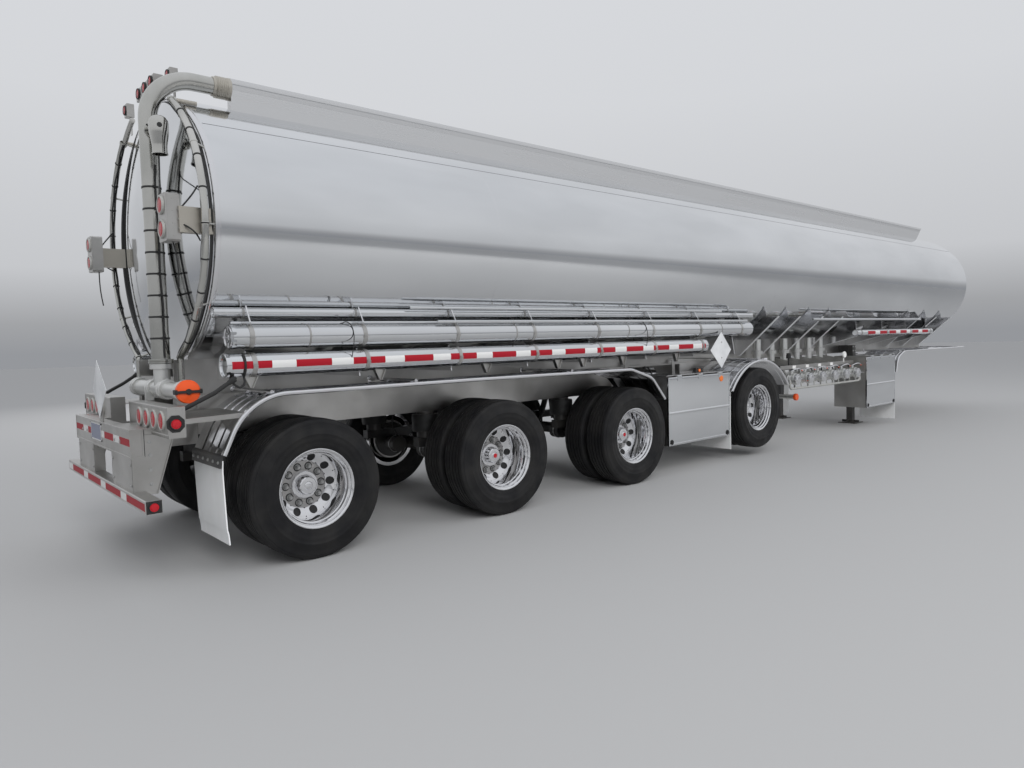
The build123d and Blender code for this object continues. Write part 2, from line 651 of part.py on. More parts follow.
def wheel_pair(side):
    """Both rims, their discs, the hub, its cap and the brake drum, bored for the spindle."""
    half, lip = RIM_W / 2, RIM_LIP
    m = MOUNT_Y
    c = OUTER_C
    outer = [(m, HUB_R - 4), (m, HUB_FLAT_R + 4), (c - half, BEAD_R - 22), (c - half, FLANGE_R),
             (c - half + lip, FLANGE_R), (c - half + lip, BEAD_R), (c + half - lip, BEAD_R),
             (c + half - lip, FLANGE_R), (c + half, FLANGE_R), (c + half, BEAD_R - 10),
             (c + half - 60, BEAD_R - 32), (c - half + 26, BEAD_R - 32), (m + DISC_T, HUB_FLAT_R),
             (m + DISC_T, HUB_R - 4)]
    inner = [(2 * m - s, r) for s, r in outer]
    wheel = lateral(outer, side) + lateral(inner, side)
    hub = [(DRUM_IN, SPINDLE_R + RUN), (DRUM_IN, DRUM_R), (m - DISC_T - 12, DRUM_R),
           (m - DISC_T - 12, HUB_FLAT_R - 10), (m - DISC_T, HUB_FLAT_R - 10), (m - DISC_T, HUB_R),
           (m + DISC_T + 46, HUB_R), (m + DISC_T + 46, CAP_R), (m + CAP_END - 12, CAP_R),
           (m + CAP_END, CAP_R - 14), (m + CAP_END, 0), (m + SPINDLE_END + 6, 0),
           (m + SPINDLE_END + 6, SPINDLE_R + RUN)]
    wheel += lateral(hub, side)
    tool = None
    for i in range(HAND_HOLES):
        turn = math.radians(360 * (i + 0.5) / HAND_HOLES)
        x, z = HAND_HOLE_PCR * math.sin(turn), HAND_HOLE_PCR * math.cos(turn)
        hole = rod((x, side * (m - 70), z), (x, side * (m + 70), z), HAND_HOLE_R)
        tool = hole if tool is None else tool + hole
    return wheel - tool


def tyre_pair(side):
    """The two tyres of a dual, each seated on its rim."""
    half = RIM_W / 2 - RIM_LIP - GAP
    bead, width = BEAD_R + GAP, TYRE_W / 2
    pair = []
    for c in (OUTER_C, INNER_C):
        right = [(half, bead), (half, FLANGE_R + 1), (width, 402), (width - 24, TYRE_R - 18),
                 (width - 46, TYRE_R)]
        profile = [(c + s, r) for s, r in right] + [(c - s, r) for s, r in reversed(right)]
        pair.append(lateral(profile, side))
    return pair


def spindle(side, start):
    """The stub that a wheel pair turns on, with its brake backing plate."""
    shape = rod((0, side * start, 0), (0, side * (MOUNT_Y + SPINDLE_END), 0), SPINDLE_R)
    face = DRUM_IN - BACKPLATE_GAP
    return shape + rod((0, side * (face - BACKPLATE_T), 0), (0, side * face, 0), BACKPLATE_R)


def spring_seat(side):
    y = side * FRAME_Y
    return block((-75, 75), (y - ARM_W / 2, y + ARM_W / 2), (0, SEAT_TOP))


def fixed_axle():
    """A tridem axle: beam, spindles, backing plates, spring seats and brake chambers."""
    beam = rod((0, -DRUM_IN + BACKPLATE_GAP, 0), (0, DRUM_IN - BACKPLATE_GAP, 0), AXLE_R)
    for _, side in SIDES:
        beam += spindle(side, 600) + spring_seat(side)
        beam += block((-190, -40), (side * 330 - 8, side * 330 + 8), (-30, 50))
        beam += rod((-190, side * 360, 10), (-190, side * 220, 10), 84)
    return beam


def lift_axle():
    """The raised axle's beam, with an eye at each end for the steering pin."""
    reach = KNUCKLE_Y
    beam = rod((0, -reach + 40, 0), (0, reach - 40, 0), AXLE_R)
    bores = None
    for _, side in SIDES:
        beam += spring_seat(side)
        beam += rod((0, side * reach, -STEER_EYE_H), (0, side * reach, STEER_EYE_H), 44)
        bore = rod((0, side * reach, -STEER_EYE_H - 1), (0, side * reach, STEER_EYE_H + 1), STEER_PIN_R + RUN)
        bores = bore if bores is None else bores + bore
    return beam - bores


def knuckle(side):
    """A steering knuckle: fork, pin, spindle, backing plate and the arm of the tie rod."""
    y = KNUCKLE_Y
    top = STEER_EYE_H + 2
    fork = rod((0, y, -top - STEER_EAR_T), (0, y, -top), 44) + rod((0, y, top), (0, y, top + STEER_EAR_T), 44)
    web_in, web_out = y + 50, DRUM_IN - BACKPLATE_GAP
    fork += block((-44, 44), (y, web_out), (top, top + STEER_EAR_T))
    fork += block((-44, 44), (y, web_out), (-top - STEER_EAR_T, -top))
    fork += block((-44, 44), (web_in, web_out), (-top - STEER_EAR_T, top + STEER_EAR_T))
    fork += rod((0, y, -top), (0, y, top), STEER_PIN_R)
    low = -top - STEER_EAR_T
    fork += block((-STEER_ARM, 0), (y - 26, y + 26), (low, low + 24))
    fork += rod((-STEER_ARM, y, low), (-STEER_ARM, y, low + 24), 30)
    fork += rod((-STEER_ARM, y, low - 62), (-STEER_ARM, y, low), 14)
    return on_side(fork + spindle(1, web_in), side)


def tie_rod():
    """The rod that joins the two steering arms, with an eye round each arm's pin."""
    low = -(STEER_EYE_H + 2 + STEER_EAR_T)
    z0, z1 = low - 56, low - 8
    y = KNUCKLE_Y
    bar = rod((-STEER_ARM, -y + 24, (z0 + z1) / 2), (-STEER_ARM, y - 30, (z0 + z1) / 2), TIE_ROD_R)
    bar += rod((-STEER_ARM, -y, z0), (-STEER_ARM, -y, z1), 30) + rod((-STEER_ARM, y, z0), (-STEER_ARM, y, z1), 36)
    bar -= rod((-STEER_ARM, -y, z0 - 1), (-STEER_ARM, -y, z1 + 1), 14 + RUN)
    return bar - rod((-STEER_ARM, y, z0 - 1), (-STEER_ARM, y, z1 + 1), 14 + 0.8)


def suspension(x, z, base, pedestal_h):
    """For both sides of one axle: hanger, trailing arm and air spring, under the frame's beam."""
    arm_z = z + SEAT_TOP
    pieces = []
    for side in (-1, 1):
        y = side * FRAME_Y
        ya, yb = y - ARM_W / 2, y + ARM_W / 2
        arm = block((x - BAG_BEHIND - 110, x + HANGER_AHEAD[1] - 20), (ya, yb), (arm_z, arm_z + ARM_H))
        hanger = [(x + HANGER_AHEAD[0], base), (x + HANGER_AHEAD[1] + 40, base),
                  (x + HANGER_AHEAD[1], arm_z - 40), (x + HANGER_AHEAD[0] + 60, arm_z - 40)]
        arm += side_plate(hanger, ya - 10, ya)
        arm += side_plate(hanger, yb, yb + 10)
        bolt = x + (HANGER_AHEAD[0] + HANGER_AHEAD[1]) / 2 + 25
        arm += rod((bolt, ya - 24, arm_z + ARM_H / 2), (bolt, yb + 24, arm_z + ARM_H / 2), 26)
        at = x - BAG_BEHIND
        top = arm_z + ARM_H
        arm += rod((at, y, top), (at, y, top + pedestal_h), PEDESTAL_R)
        arm += rod((at, y, top + pedestal_h), (at, y, base - BAG_CAP), BAG_R)
        arm += rod((at, y, base - BAG_CAP), (at, y, base), PEDESTAL_R)
        pieces.append(arm)
    return pieces


def swept_sheet(path, y_in, y_out):
    """A thin sheet carried along a path, with a round bead on its outer edge."""
    start, way = path @ 0, path % 0
    middle = (y_in + y_out) / 2
    at = Plane(origin=(start.X, middle, start.Z), z_dir=way, x_dir=(0, 1, 0))
    sheet = sweep(at * Rectangle(abs(y_out - y_in), SHEET_T), path=path)
    bead_at = Plane(origin=(start.X, y_out, start.Z), z_dir=way, x_dir=(0, 1, 0))
    bead = sweep(bead_at * Circle(BEAD_TUBE_R), path=Pos(0, y_out, 0) * path)
    return sheet + bead


def fender(points, stays):
    """A long fender on the left side, on stays from the frame's web."""
    path = FilletPolyline(*[(x, 0, z) for x, z in points], radius=FENDER_BEND)
    shape = swept_sheet(path, FENDER_IN, HALF_WIDTH - BEAD_TUBE_R)
    return shape + fender_stays(stays) if stays else shape


def tridem_fender():
    """The fender over the three rear axles, in three lengths that meet end to end, on the left."""
    ends = []
    for x, (a, b) in zip(FENDER_CUTS, (TRIDEM_FENDER[1:3], TRIDEM_FENDER[3:5])):
        share = (x - a[0]) / (b[0] - a[0])
        ends.append((x, a[1] + share * (b[1] - a[1])))
    rear = fender(TRIDEM_FENDER[:2] + (ends[0],), ())
    top = fender((ends[0],) + TRIDEM_FENDER[2:4] + (ends[1],), TRIDEM_STAYS[:3])
    front = fender((ends[1],) + TRIDEM_FENDER[4:], TRIDEM_STAYS[3:])
    return [rear, top, front]


def fender_stays(stays):
    """Round stays, each as (x, z), from the frame's web out under the sheet."""
    shape = None
    for x, z in stays:
        over = z - STAY_R > FRAME_Z + FRAME_FLANGE_T
        start = FRAME_Y + (FRAME_WEB if over else FRAME_FLANGE_W) / 2
        stay = rod((x, start, z), (x, HALF_WIDTH - 60, z), STAY_R)
        shape = stay if shape is None else shape + stay
    return shape


def lift_fender():
    """The single arched fender over the lift axle, on the left side."""
    x = AXLES[3][1] + LIFT_FENDER_AHEAD
    path = ThreePointArc((x - LIFT_FENDER_HALF, 0, LIFT_FENDER_END_Z), (x, 0, LIFT_FENDER_TOP),
                         (x + LIFT_FENDER_HALF, 0, LIFT_FENDER_END_Z))
    shape = swept_sheet(path, FENDER_IN, HALF_WIDTH - BEAD_TUBE_R)
    return shape + fender_stays(((x, LIFT_FENDER_TOP + STAY_R - 4),))


def mud_flaps():
    """Six flaps, each hung from the end of its fender; the rear ones lean under a steel strip."""
    pieces = []
    lift_x = AXLES[3][1] + LIFT_FENDER_AHEAD - LIFT_FENDER_HALF
    for place, (x, z) in (("lift", (lift_x, LIFT_FENDER_END_Z)), ("front", FRONT_FENDER[0])):
        top = z - FLAP_SEAT
        pieces += both(block((x - FLAP_T / 2, x + FLAP_T / 2), FLAP_Y, (FLAP_LOW_Z[place], top)))
    x, z = TRIDEM_FENDER[0]
    z0, z1 = REAR_FLAP_Z
    strip = block((x - 10, x + SHEET_T / 2), FLAP_Y, (z1 - 60, z - FLAP_SEAT / 2))
    outline = [(x, z1), (x + FLAP_T, z1), (x + FLAP_T + REAR_FLAP_LEAN, z0), (x + REAR_FLAP_LEAN, z0)]
    flap = side_plate(outline, *FLAP_Y)
    return pieces + both(strip + flap)


def tube(spec):
    y, z, radius, x0, x1 = spec
    return rod((x0, y, z), (x1, y, z), radius)


def hose_tube():
    """The hollow hose tube on the left side, and the hinge ears of its rear lid seated on it."""
    y, z, radius, x0, x1 = HOSE_TUBE
    shape = ring((x0, y, z), (x1 - 8, y, z), radius, radius - 5) + rod((x1 - 8, y, z), (x1, y, z), radius)
    hinge_x = x0 - TUBE_HINGE_BACK
    hinge_y = y + radius + 14
    ears = rod((hinge_x, hinge_y, z - 34), (hinge_x, hinge_y, z + 34), TUBE_LID_HINGE_R)
    for low in (z - 34, z + 18):
        ears += block((hinge_x - 8, x0 + 20), (y + radius - 4, hinge_y + 8), (low, low + 16))
    return [shape, ears - rod((x0 - 30, y, z), (x0 + 30, y, z), radius)]


def tube_lid(side):
    """The round lid of a hose tube, swinging about an upright pin outboard of it."""
    y, z, radius, x0, _ = HOSE_TUBE
    face = x0 - GAP
    hinge_x = x0 - TUBE_HINGE_BACK
    hinge_y = y + radius + 14
    shape = rod((face - TUBE_LID_T, y, z), (face, y, z), radius - 7)
    shape += block((face - TUBE_LID_T, face), (y + radius - 30, hinge_y), (z - 16, z + 16))
    shape += rod((hinge_x, hinge_y, z - 16), (hinge_x, hinge_y, z + 16), TUBE_LID_HINGE_R + 6)
    bore = rod((hinge_x, hinge_y, z - 20), (hinge_x, hinge_y, z + 20), TUBE_LID_HINGE_R + RUN)
    return on_side(shape - bore, side)


def side_tubes():
    """Small tubes along one side with the bracket plates that carry every tube, on the left."""
    shape = tube(TOP_TUBE)
    for spec in THIN_TUBES:
        shape += tube(spec)
    return shape


def tube_brackets():
    """Bracket plates from the shell and frame out to the side tubes, on the left.

    Each tube lies in a shallow seat of the plates' outer edges."""
    carried = (HOSE_TUBE, TAPE_TUBE, TOP_TUBE) + THIN_TUBES[:3]
    holes = [tube((y, z, radius + GAP, x0, x1)) for y, z, radius, x0, x1 in carried]
    pieces = []
    join = BRACKET_JOIN_Z
    lower = [(FRAME_Y + FRAME_WEB / 2, 1330), (1102, 1330), (1085, 1440), (1052, 1638), (1046, join),
             (940, join), (900, 1700), (FRAME_Y + FRAME_WEB / 2, 1440)]
    upper = [(940, join), (1180, join), THIN_TUBES[2][:2], THIN_TUBES[1][:2], (1000, THIN_TUBES[1][1])]
    for x in BRACKET_X:
        for outline in (lower, upper):
            piece = plate(outline, x, x + BRACKET_T) - SHELL_TOOL
            for hole in holes:
                piece -= hole
            pieces.append(piece)
    front = [(720, 1560), (960, 1840), (1108, 1790), (1120, 1500), (FRAME_Y + 6, 1330), (FRAME_Y + 6, 1420)]
    for x in FRONT_BRACKET_X:
        piece = plate(front, x, x + BRACKET_T) - SHELL_TOOL
        piece -= tube((FRONT_TUBE[0], FRONT_TUBE[1], FRONT_TUBE[2] + GAP, FRONT_TUBE[3], FRONT_TUBE[4]))
        piece -= tube(THIN_TUBES[3])
        pieces.append(piece)
    return pieces


def cabinet(spec):
    """A hollow cabinet on the right side, open outwards, hung from the frame."""
    x0, x1, z0, z1, inner = spec
    w = CABINET_WALL
    face = CABINET_Y - DOOR_T
    shell = block((x0, x1), (-face, -inner), (z0, z1))
    shell -= block((x0 + w, x1 - w), (-face - 1, -inner - w), (z0 + w, z1 - w))
    edge = FRAME_Y + FRAME_FLANGE_W / 2
    hang = None
    for x in (x0 + 120, x1 - 180):
        strap = block((x, x + 60), (-inner, -edge), (z1 - 40, z1 - 34))
        strap += block((x, x + 60), (-edge - 6, -edge), (z1 - 40, FRAME_Z + 60))
        strap += block((x, x + 60), (-edge, -FRAME_Y - FRAME_WEB / 2), (FRAME_Z + 54, FRAME_Z + 60))
        hang = strap if hang is None else hang + strap
    pins = hinge_line(spec)
    for x in hinge_stations(spec):
        shell += block((x - DOOR_HINGE_LEN - 20, x - DOOR_HINGE_LEN), (-face, -face - 16), (z1 - 12, z1))
    return shell + hang + pins


def hinge_stations(spec):
    x0, x1 = spec[0], spec[1]
    return (x0 + 260, (x0 + x1) / 2 + 55, x1 - 150)


def hinge_line(spec):
    """The hinge pins of a cabinet door, along its top outer edge."""
    z1 = spec[3]
    shape = None
    for x in hinge_stations(spec):
        pin = rod((x - DOOR_HINGE_LEN - 20, -CABINET_Y + 8, z1 - 6), (x, -CABINET_Y + 8, z1 - 6), 4)
        shape = pin if shape is None else shape + pin
    return shape


def cabinet_door(spec):
    """A cabinet's door: a pan with a folded rim and a pressed crease, hinged at its top."""
    x0, x1, z0, z1, _ = spec
    face = CABINET_Y - DOOR_T + DOOR_GAP
    top = z1 - 16
    door = block((x0, x1), (-CABINET_Y, -face), (z0, top))
    door -= block((x0 + 4, x1 - 4), (-CABINET_Y + 4, -face + 1), (z0 + 4, top - 4))
    for x in hinge_stations(spec):
        door += block((x - DOOR_HINGE_LEN + 2, x - 2), (-CABINET_Y, -CABINET_Y + 4), (top, z1 - 12))
        knuckle_piece = rod((x - DOOR_HINGE_LEN + 2, -CABINET_Y + 8, z1 - 6), (x - 2, -CABINET_Y + 8, z1 - 6), 7.5)
        door += knuckle_piece
    for x in hinge_stations(spec):
        door -= rod((x - DOOR_HINGE_LEN, -CABINET_Y + 8, z1 - 6), (x, -CABINET_Y + 8, z1 - 6), 4 + RUN)
    return door


def manifold():
    """The row of bottom outlets on the right side, their drop pipes and the guard rail."""
    pieces = []
    last = OUTLET_X + OUTLET_PITCH * (COMPARTMENTS - 1)
    for i in range(COMPARTMENTS):
        x = OUTLET_X + i * OUTLET_PITCH
        path = FilletPolyline((x, -OUTLET_FACE + 10, OUTLET_Z), (x, -DROP_Y, OUTLET_Z), (x, -DROP_Y, SADDLE_TOP),
                              radius=DROP_BEND)
        at = Plane(origin=path @ 0, z_dir=path % 0)
        pipe = sweep(at * Circle(OUTLET_R), path=path)
        pipe += rod((x, -OUTLET_FACE, OUTLET_Z), (x, -OUTLET_FACE + OUTLET_FLANGE_T, OUTLET_Z), OUTLET_FLANGE_R)
        pipe += rod((x, -OUTLET_FACE + 90, OUTLET_Z), (x, -OUTLET_FACE + 110, OUTLET_Z), OUTLET_FLANGE_R - 6)
        pipe += rod((x, -DROP_Y, 1280), (x, -DROP_Y, 1302), OUTLET_FLANGE_R - 4)
        pipe -= SHELL_TOOL
        for y in (-OUTLET_FACE + 24,):
            pipe += block((x - 12, x + 12), (y - 20, y + 4), (GUARD_Z, OUTLET_Z - 40))
        pieces.append(pipe)
    rail = rod((OUTLET_X - 140, -OUTLET_FACE + 14, GUARD_Z), (last + 140, -OUTLET_FACE + 14, GUARD_Z), GUARD_R)
    shape = rail
    for piece in pieces:
        shape += piece
    return shape


def placard(x_middle, y_middle, z_middle, along_x):
    """A blank diamond plate on its square back plate's corner bracket."""
    h = PLACARD_HALF
    if along_x:
        points = [(x_middle - h, z_middle), (x_middle, z_middle + h), (x_middle + h, z_middle), (x_middle, z_middle - h)]
        return side_plate(points, y_middle, y_middle - PLACARD_T)
    points = [(y_middle - h, z_middle), (y_middle, z_middle + h), (y_middle + h, z_middle), (y_middle, z_middle - h)]
    return plate(points, x_middle, x_middle + PLACARD_T)


def placards():
    """The side placards and the rear one, each on a short bracket."""
    pieces = []
    side = placard(5360, -1230, 1395, True)
    side += block((5330, 5390), (-1232, -FRAME_Y - FRAME_WEB / 2), (1290, 1298))
    pieces += both(side)
    rear = placard(-1140, 0, 1290, False)
    rear += block((-1140, -1132), (-60, 60), (UPPER_BEAM_Z[1], 1180))
    pieces.append(rear)
    return pieces


def compound(pieces):
    """Several separate solids as one shape."""
    return Compound(children=[Compound(p) if isinstance(p, (list, ShapeList)) else p for p in pieces])


def solids_of(shape):
    """Flattens nested lists and results into one list of solids."""
    if isinstance(shape, (list, tuple)):
        return [s for item in shape for s in solids_of(item)]
    return list(shape.solids())


def write(node, shape):
    """Writes one node's solids, moved to the row's origin."""
    solids = [Pos(-MID_X, 0, 0) * s for s in solids_of(shape)]
    whole = solids[0] if len(solids) == 1 else Compound(solids)
    export_step(whole, f"parts/{node}.step")


def main():
    os.makedirs("parts", exist_ok=True)
    write("tank", tank())
    write("rear_ring", rear_ring())
    for name, side in SIDES:
        write(f"rollover_rail_{name}", rollover_rail(side))
    write("dome_necks", dome_necks())
    for i, x in enumerate(neck_stations(), 1):
        write(f"dome_lid_{i}", dome_lid(x))
    write("roof_vents", roof_vents())
    write("vapour_pipe", [vapour_pipe(), vent_cowl()])
    write("vapour_tee", vapour_tee())
    write("lamp_boxes", lamp_boxes() + [top_lamp_bar()] + both(clearance_box()))
    write("lamps", lamps())
    write("drain_loop", both(drain_pipe()))
    write("rear_guard", rear_guard())
    write("frame_rails", [frame_rail(-1), frame_rail(1)])
    write("cross_members", cross_members())
    write("coupler", coupler())
    write("landing_gear", landing_gear())
    write("hose_tubes", [both(piece) for piece in hose_tube()])
    for name, side in SIDES:
        write(f"tube_lid_{name}", tube_lid(side))
    write("side_tubes", both(side_tubes()) + both(tube(TAPE_TUBE)) + both(tube(FRONT_TUBE)))
    write("tube_brackets", [both(piece) for piece in tube_brackets() + [outrigger(x) for x in OUTRIGGER_X]])
    write("tridem_fenders", [both(piece) for piece in tridem_fender()])
    write("single_fenders", both(lift_fender()) + both(fender(FRONT_FENDER, ((11050, 1228), (12150, 1228), (13700, 1228)))))
    write("mud_flaps", mud_flaps())
    for name, spec in (("mid", MID_CABINET), ("front", FRONT_CABINET)):
        write(f"cabinet_{name}", cabinet(spec))
        write(f"cabinet_{name}_door", cabinet_door(spec))
    write("outlet_manifold", manifold())
    write("placards", placards())
    at = [(name, Pos(x, 0, TYRE_R + lift)) for name, x, lift in AXLES]
    write("tridem_axles", [place * fixed_axle() for _, place in at[:3]])
    write("lift_axle", at[3][1] * lift_axle())
    write("tridem_suspension", [suspension(x, TYRE_R, BOGIE_Z, PEDESTAL_H) for _, x, _ in AXLES[:3]])
    write("lift_suspension", suspension(AXLES[3][1], TYRE_R + LIFT_RAISE, LIFT_BEAM_Z, PEDESTAL_H))
    write("tie_rod", at[3][1] * tie_rod())
    for side_name, side in SIDES:
        wheel, tyres = wheel_pair(side), tyre_pair(side)
        write(f"knuckle_{side_name}", at[3][1] * knuckle(side))
        for name, place in at:
            write(f"wheels_{name}_{side_name}", place * wheel)
            write(f"tyres_{name}_{side_name}", [place * t for t in tyres])


if __name__ == "__main__":
    main()
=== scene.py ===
# %% [markdown]
# # A polished tanker semi-trailer
# The trailer is an aluminium tank on a welded frame, with four axles, side tubes for hoses and a
# row of outlets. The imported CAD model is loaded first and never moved. Every new piece is a surface
# worked out with numpy, in metres, and rides on one of the CAD bodies, so it follows every joint.

# %% Load the frame
import math

import bpy
import numpy as np
from mathutils import Matrix, Vector


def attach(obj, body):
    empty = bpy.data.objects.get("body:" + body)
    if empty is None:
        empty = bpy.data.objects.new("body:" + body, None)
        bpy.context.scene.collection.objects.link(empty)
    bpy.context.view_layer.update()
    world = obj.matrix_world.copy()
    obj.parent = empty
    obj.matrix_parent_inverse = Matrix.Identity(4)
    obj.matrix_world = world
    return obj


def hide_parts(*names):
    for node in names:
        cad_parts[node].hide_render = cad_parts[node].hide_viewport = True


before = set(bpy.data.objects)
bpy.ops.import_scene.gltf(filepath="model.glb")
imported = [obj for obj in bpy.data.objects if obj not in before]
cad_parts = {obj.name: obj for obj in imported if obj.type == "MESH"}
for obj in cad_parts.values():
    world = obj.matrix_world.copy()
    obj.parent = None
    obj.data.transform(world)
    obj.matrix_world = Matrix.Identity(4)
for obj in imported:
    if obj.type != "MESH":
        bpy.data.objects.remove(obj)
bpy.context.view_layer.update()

# %% [markdown]
# Sizes are easiest to read from the rearmost axle, as a trailer maker measures them. The row's
# origin is the middle of the trailer's length, so every finished mesh is shifted by this one amount.

# %% Places and sizes along the trailer
AHEAD, AFT, LEFT, RIGHT, UP = (1, 0, 0), (-1, 0, 0), (0, 1, 0), (0, -1, 0), (0, 0, 1)
MIDDLE = 6.611
AXLE_X = {"1": 0.0, "2": 1.83, "3": 3.66, "4": 6.18}
AXLE_Z = {"1": 0.522, "2": 0.522, "3": 0.522, "4": 0.622}
SIDES = {"right": -1, "left": 1}
SHELL = (-0.6, 14.15)
TANK_Z = 2.465
HALF_W, HALF_H, SIDE_R = 1.25, 1.055, 0.9

# %% [markdown]
# Most pieces are grids: rows and columns of points that wrap round a shape. One helper turns a grid
# into a mesh whose faces are squares between neighbouring points. Closing a direction joins its last
# row to its first, and a capped end gets one flat face.

# %% Mesh helpers
def add_mesh(name, points, faces, material, body="chassis", smooth=True, angle=35):
    """A mesh object from an (n, 3) array of points and a list of index arrays of faces."""
    mesh = bpy.data.meshes.new(name)
    shifted = np.asarray(points, float) - np.array([MIDDLE, 0.0, 0.0])
    mesh.from_pydata(shifted.tolist(), [], faces)
    mesh.update()
    mesh.polygons.foreach_set("use_smooth", np.full(len(mesh.polygons), smooth))
    if angle:
        mesh.set_sharp_from_angle(angle=math.radians(angle))
    piece = bpy.data.objects.new(name, mesh)
    bpy.context.scene.collection.objects.link(piece)
    mesh.materials.append(material)
    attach(piece, body)
    return piece


def grid_faces(rows, columns, close_rows=False, close_columns=False):
    """Squares between grid points: point (i, j) has the number i * columns + j."""
    i = np.arange(rows if close_rows else rows - 1)
    j = np.arange(columns if close_columns else columns - 1)
    i, j = np.meshgrid(i, j, indexing="ij")
    i2, j2 = (i + 1) % rows, (j + 1) % columns
    quads = np.stack([i * columns + j, i2 * columns + j, i2 * columns + j2, i * columns + j2], -1)
    return quads.reshape(-1, 4).tolist()


def join_parts(parts):
    """Stacks (points, faces) pairs into one pair, numbering each part after the last."""
    points, faces, count = [], [], 0
    for p, f in parts:
        p = np.asarray(p, float).reshape(-1, 3)
        points.append(p)
        faces += [[k + count for k in face] for face in f]
        count += len(p)
    return np.concatenate(points), faces


def add_parts(name, parts, material, body="chassis", angle=35):
    """One mesh object from many (points, faces) parts."""
    return add_mesh(name, *join_parts(parts), material, body, angle=angle)


def tube(path, radius, sides=16):
    """A round tube: circles of the given radius, each square to the path at its point.

    The circle's two directions come from the path's direction crossed with the axis that the whole
    path is least along, so a flat bend doesn't twist."""
    path = np.asarray(path, float)
    radius = np.broadcast_to(np.asarray(radius, float), (len(path),))
    way = np.gradient(path, axis=0)
    way /= np.linalg.norm(way, axis=1, keepdims=True)
    spread = np.abs(way).max(0)
    steady = np.eye(3)[int(np.argmin(spread))]
    side = np.cross(way, steady)
    side /= np.linalg.norm(side, axis=1, keepdims=True)
    up = np.cross(way, side)
    turn = turn_of(sides)
    rings = (path[:, None] + radius[:, None, None] *
             (np.cos(turn)[None, :, None] * side[:, None] + np.sin(turn)[None, :, None] * up[:, None]))
    faces = [f[::-1] for f in grid_faces(len(path), sides, close_columns=True)]
    faces.append(list(range(sides))[::-1])
    faces.append(list(range((len(path) - 1) * sides, len(path) * sides)))
    return rings.reshape(-1, 3), faces


def turn_of(count):
    """Angles at even steps round one whole turn."""
    return np.linspace(0, 2 * np.pi, count, endpoint=False)


def outward(points, faces):
    """Turns a closed shell's faces round where its signed volume comes out negative."""
    points = np.asarray(points, float).reshape(-1, 3)
    tris = np.array([(f[0], f[k], f[k + 1]) for f in faces for k in range(1, len(f) - 1)])
    corner = points[tris]
    volume = np.einsum("ij,ij->", corner[:, 0], np.cross(corner[:, 1], corner[:, 2]))
    return points, faces if volume > 0 else [f[::-1] for f in faces]


def spin(profile, centre, axis, sides=48):
    """A turned form: a closed profile of (distance along the axis, radius) swung round the axis."""
    profile = np.asarray(profile, float)
    axis = np.asarray(axis, float) / np.linalg.norm(axis)
    other = np.array([0.0, 0.0, 1.0]) if abs(axis[2]) < 0.9 else np.array([1.0, 0.0, 0.0])
    one = np.cross(axis, other)
    one /= np.linalg.norm(one)
    two = np.cross(axis, one)
    turn = turn_of(sides)
    ring = np.cos(turn)[:, None] * one + np.sin(turn)[:, None] * two
    points = (np.asarray(centre, float) + profile[:, None, :1] * axis + profile[:, None, 1:] * ring[None])
    faces = grid_faces(len(profile), sides, True, True)
    return points.reshape(-1, 3), faces


def blocks(spans):
    """Many boxes at once, each from its two opposite corners (x0, y0, z0, x1, y1, z1)."""
    spans = np.asarray(spans, float).reshape(-1, 6)
    low, high = np.minimum(spans[:, :3], spans[:, 3:]), np.maximum(spans[:, :3], spans[:, 3:])
    pick = np.array([[0, 0, 0], [1, 0, 0], [1, 1, 0], [0, 1, 0], [0, 0, 1], [1, 0, 1], [1, 1, 1], [0, 1, 1]])
    points = np.where(pick[None] == 1, high[:, None], low[:, None]).reshape(-1, 3)
    one = np.array([[3, 2, 1, 0], [4, 5, 6, 7], [0, 1, 5, 4], [1, 2, 6, 5], [2, 3, 7, 6], [3, 0, 4, 7]])
    faces = (np.arange(len(spans))[:, None, None] * 8 + one[None]).reshape(-1, 4)
    return points, faces.tolist()


def bevel(piece, width):
    """Rounds the edges of a piece, as castings are, once the points at each turned pole are one."""
    piece.modifiers.new("poles", "WELD").merge_threshold = 0.00001
    m = piece.modifiers.new("edge", "BEVEL")
    m.width, m.segments, m.limit_method, m.angle_limit = width, 2, "ANGLE", math.radians(35)


def mirrored(parts):
    """The parts and their mirror images across the middle plane, faces turned back outwards."""
    out = list(parts)
    for p, f in parts:
        out.append((np.asarray(p) * [1, -1, 1], [face[::-1] for face in f]))
    return out


# %% [markdown]
# Sheet parts are flat outlines pushed along one axis, folded strips with a thickness, or a section
# carried along a path. Small fasteners are turned pieces, so one helper closes and orients them.

# %% Sheet helpers
def prism(outline, plane, start, end):
    """An outline of 2-D points in the plane yz, xz or xy, pushed along the third axis."""
    flat = np.asarray(outline, float)
    third = {"yz": 0, "xz": 1, "xy": 2}[plane]
    first, second = [k for k in range(3) if k != third]
    n = len(flat)
    points = np.zeros((2, n, 3))
    points[:, :, first], points[:, :, second] = flat[:, 0], flat[:, 1]
    points[0, :, third], points[1, :, third] = start, end
    faces = grid_faces(2, n, close_columns=True) + [list(range(n)), list(range(n, 2 * n))[::-1]]
    return outward(points.reshape(-1, 3), faces)


def thick(line, wall):
    """A closed outline: a 2-D line and its copy moved square to itself by the wall's thickness."""
    line = np.asarray(line, float)
    way = np.gradient(line, axis=0)
    way /= np.linalg.norm(way, axis=1, keepdims=True)
    square = np.stack([-way[:, 1], way[:, 0]], -1)
    return np.concatenate([line, (line + square * wall)[::-1]])


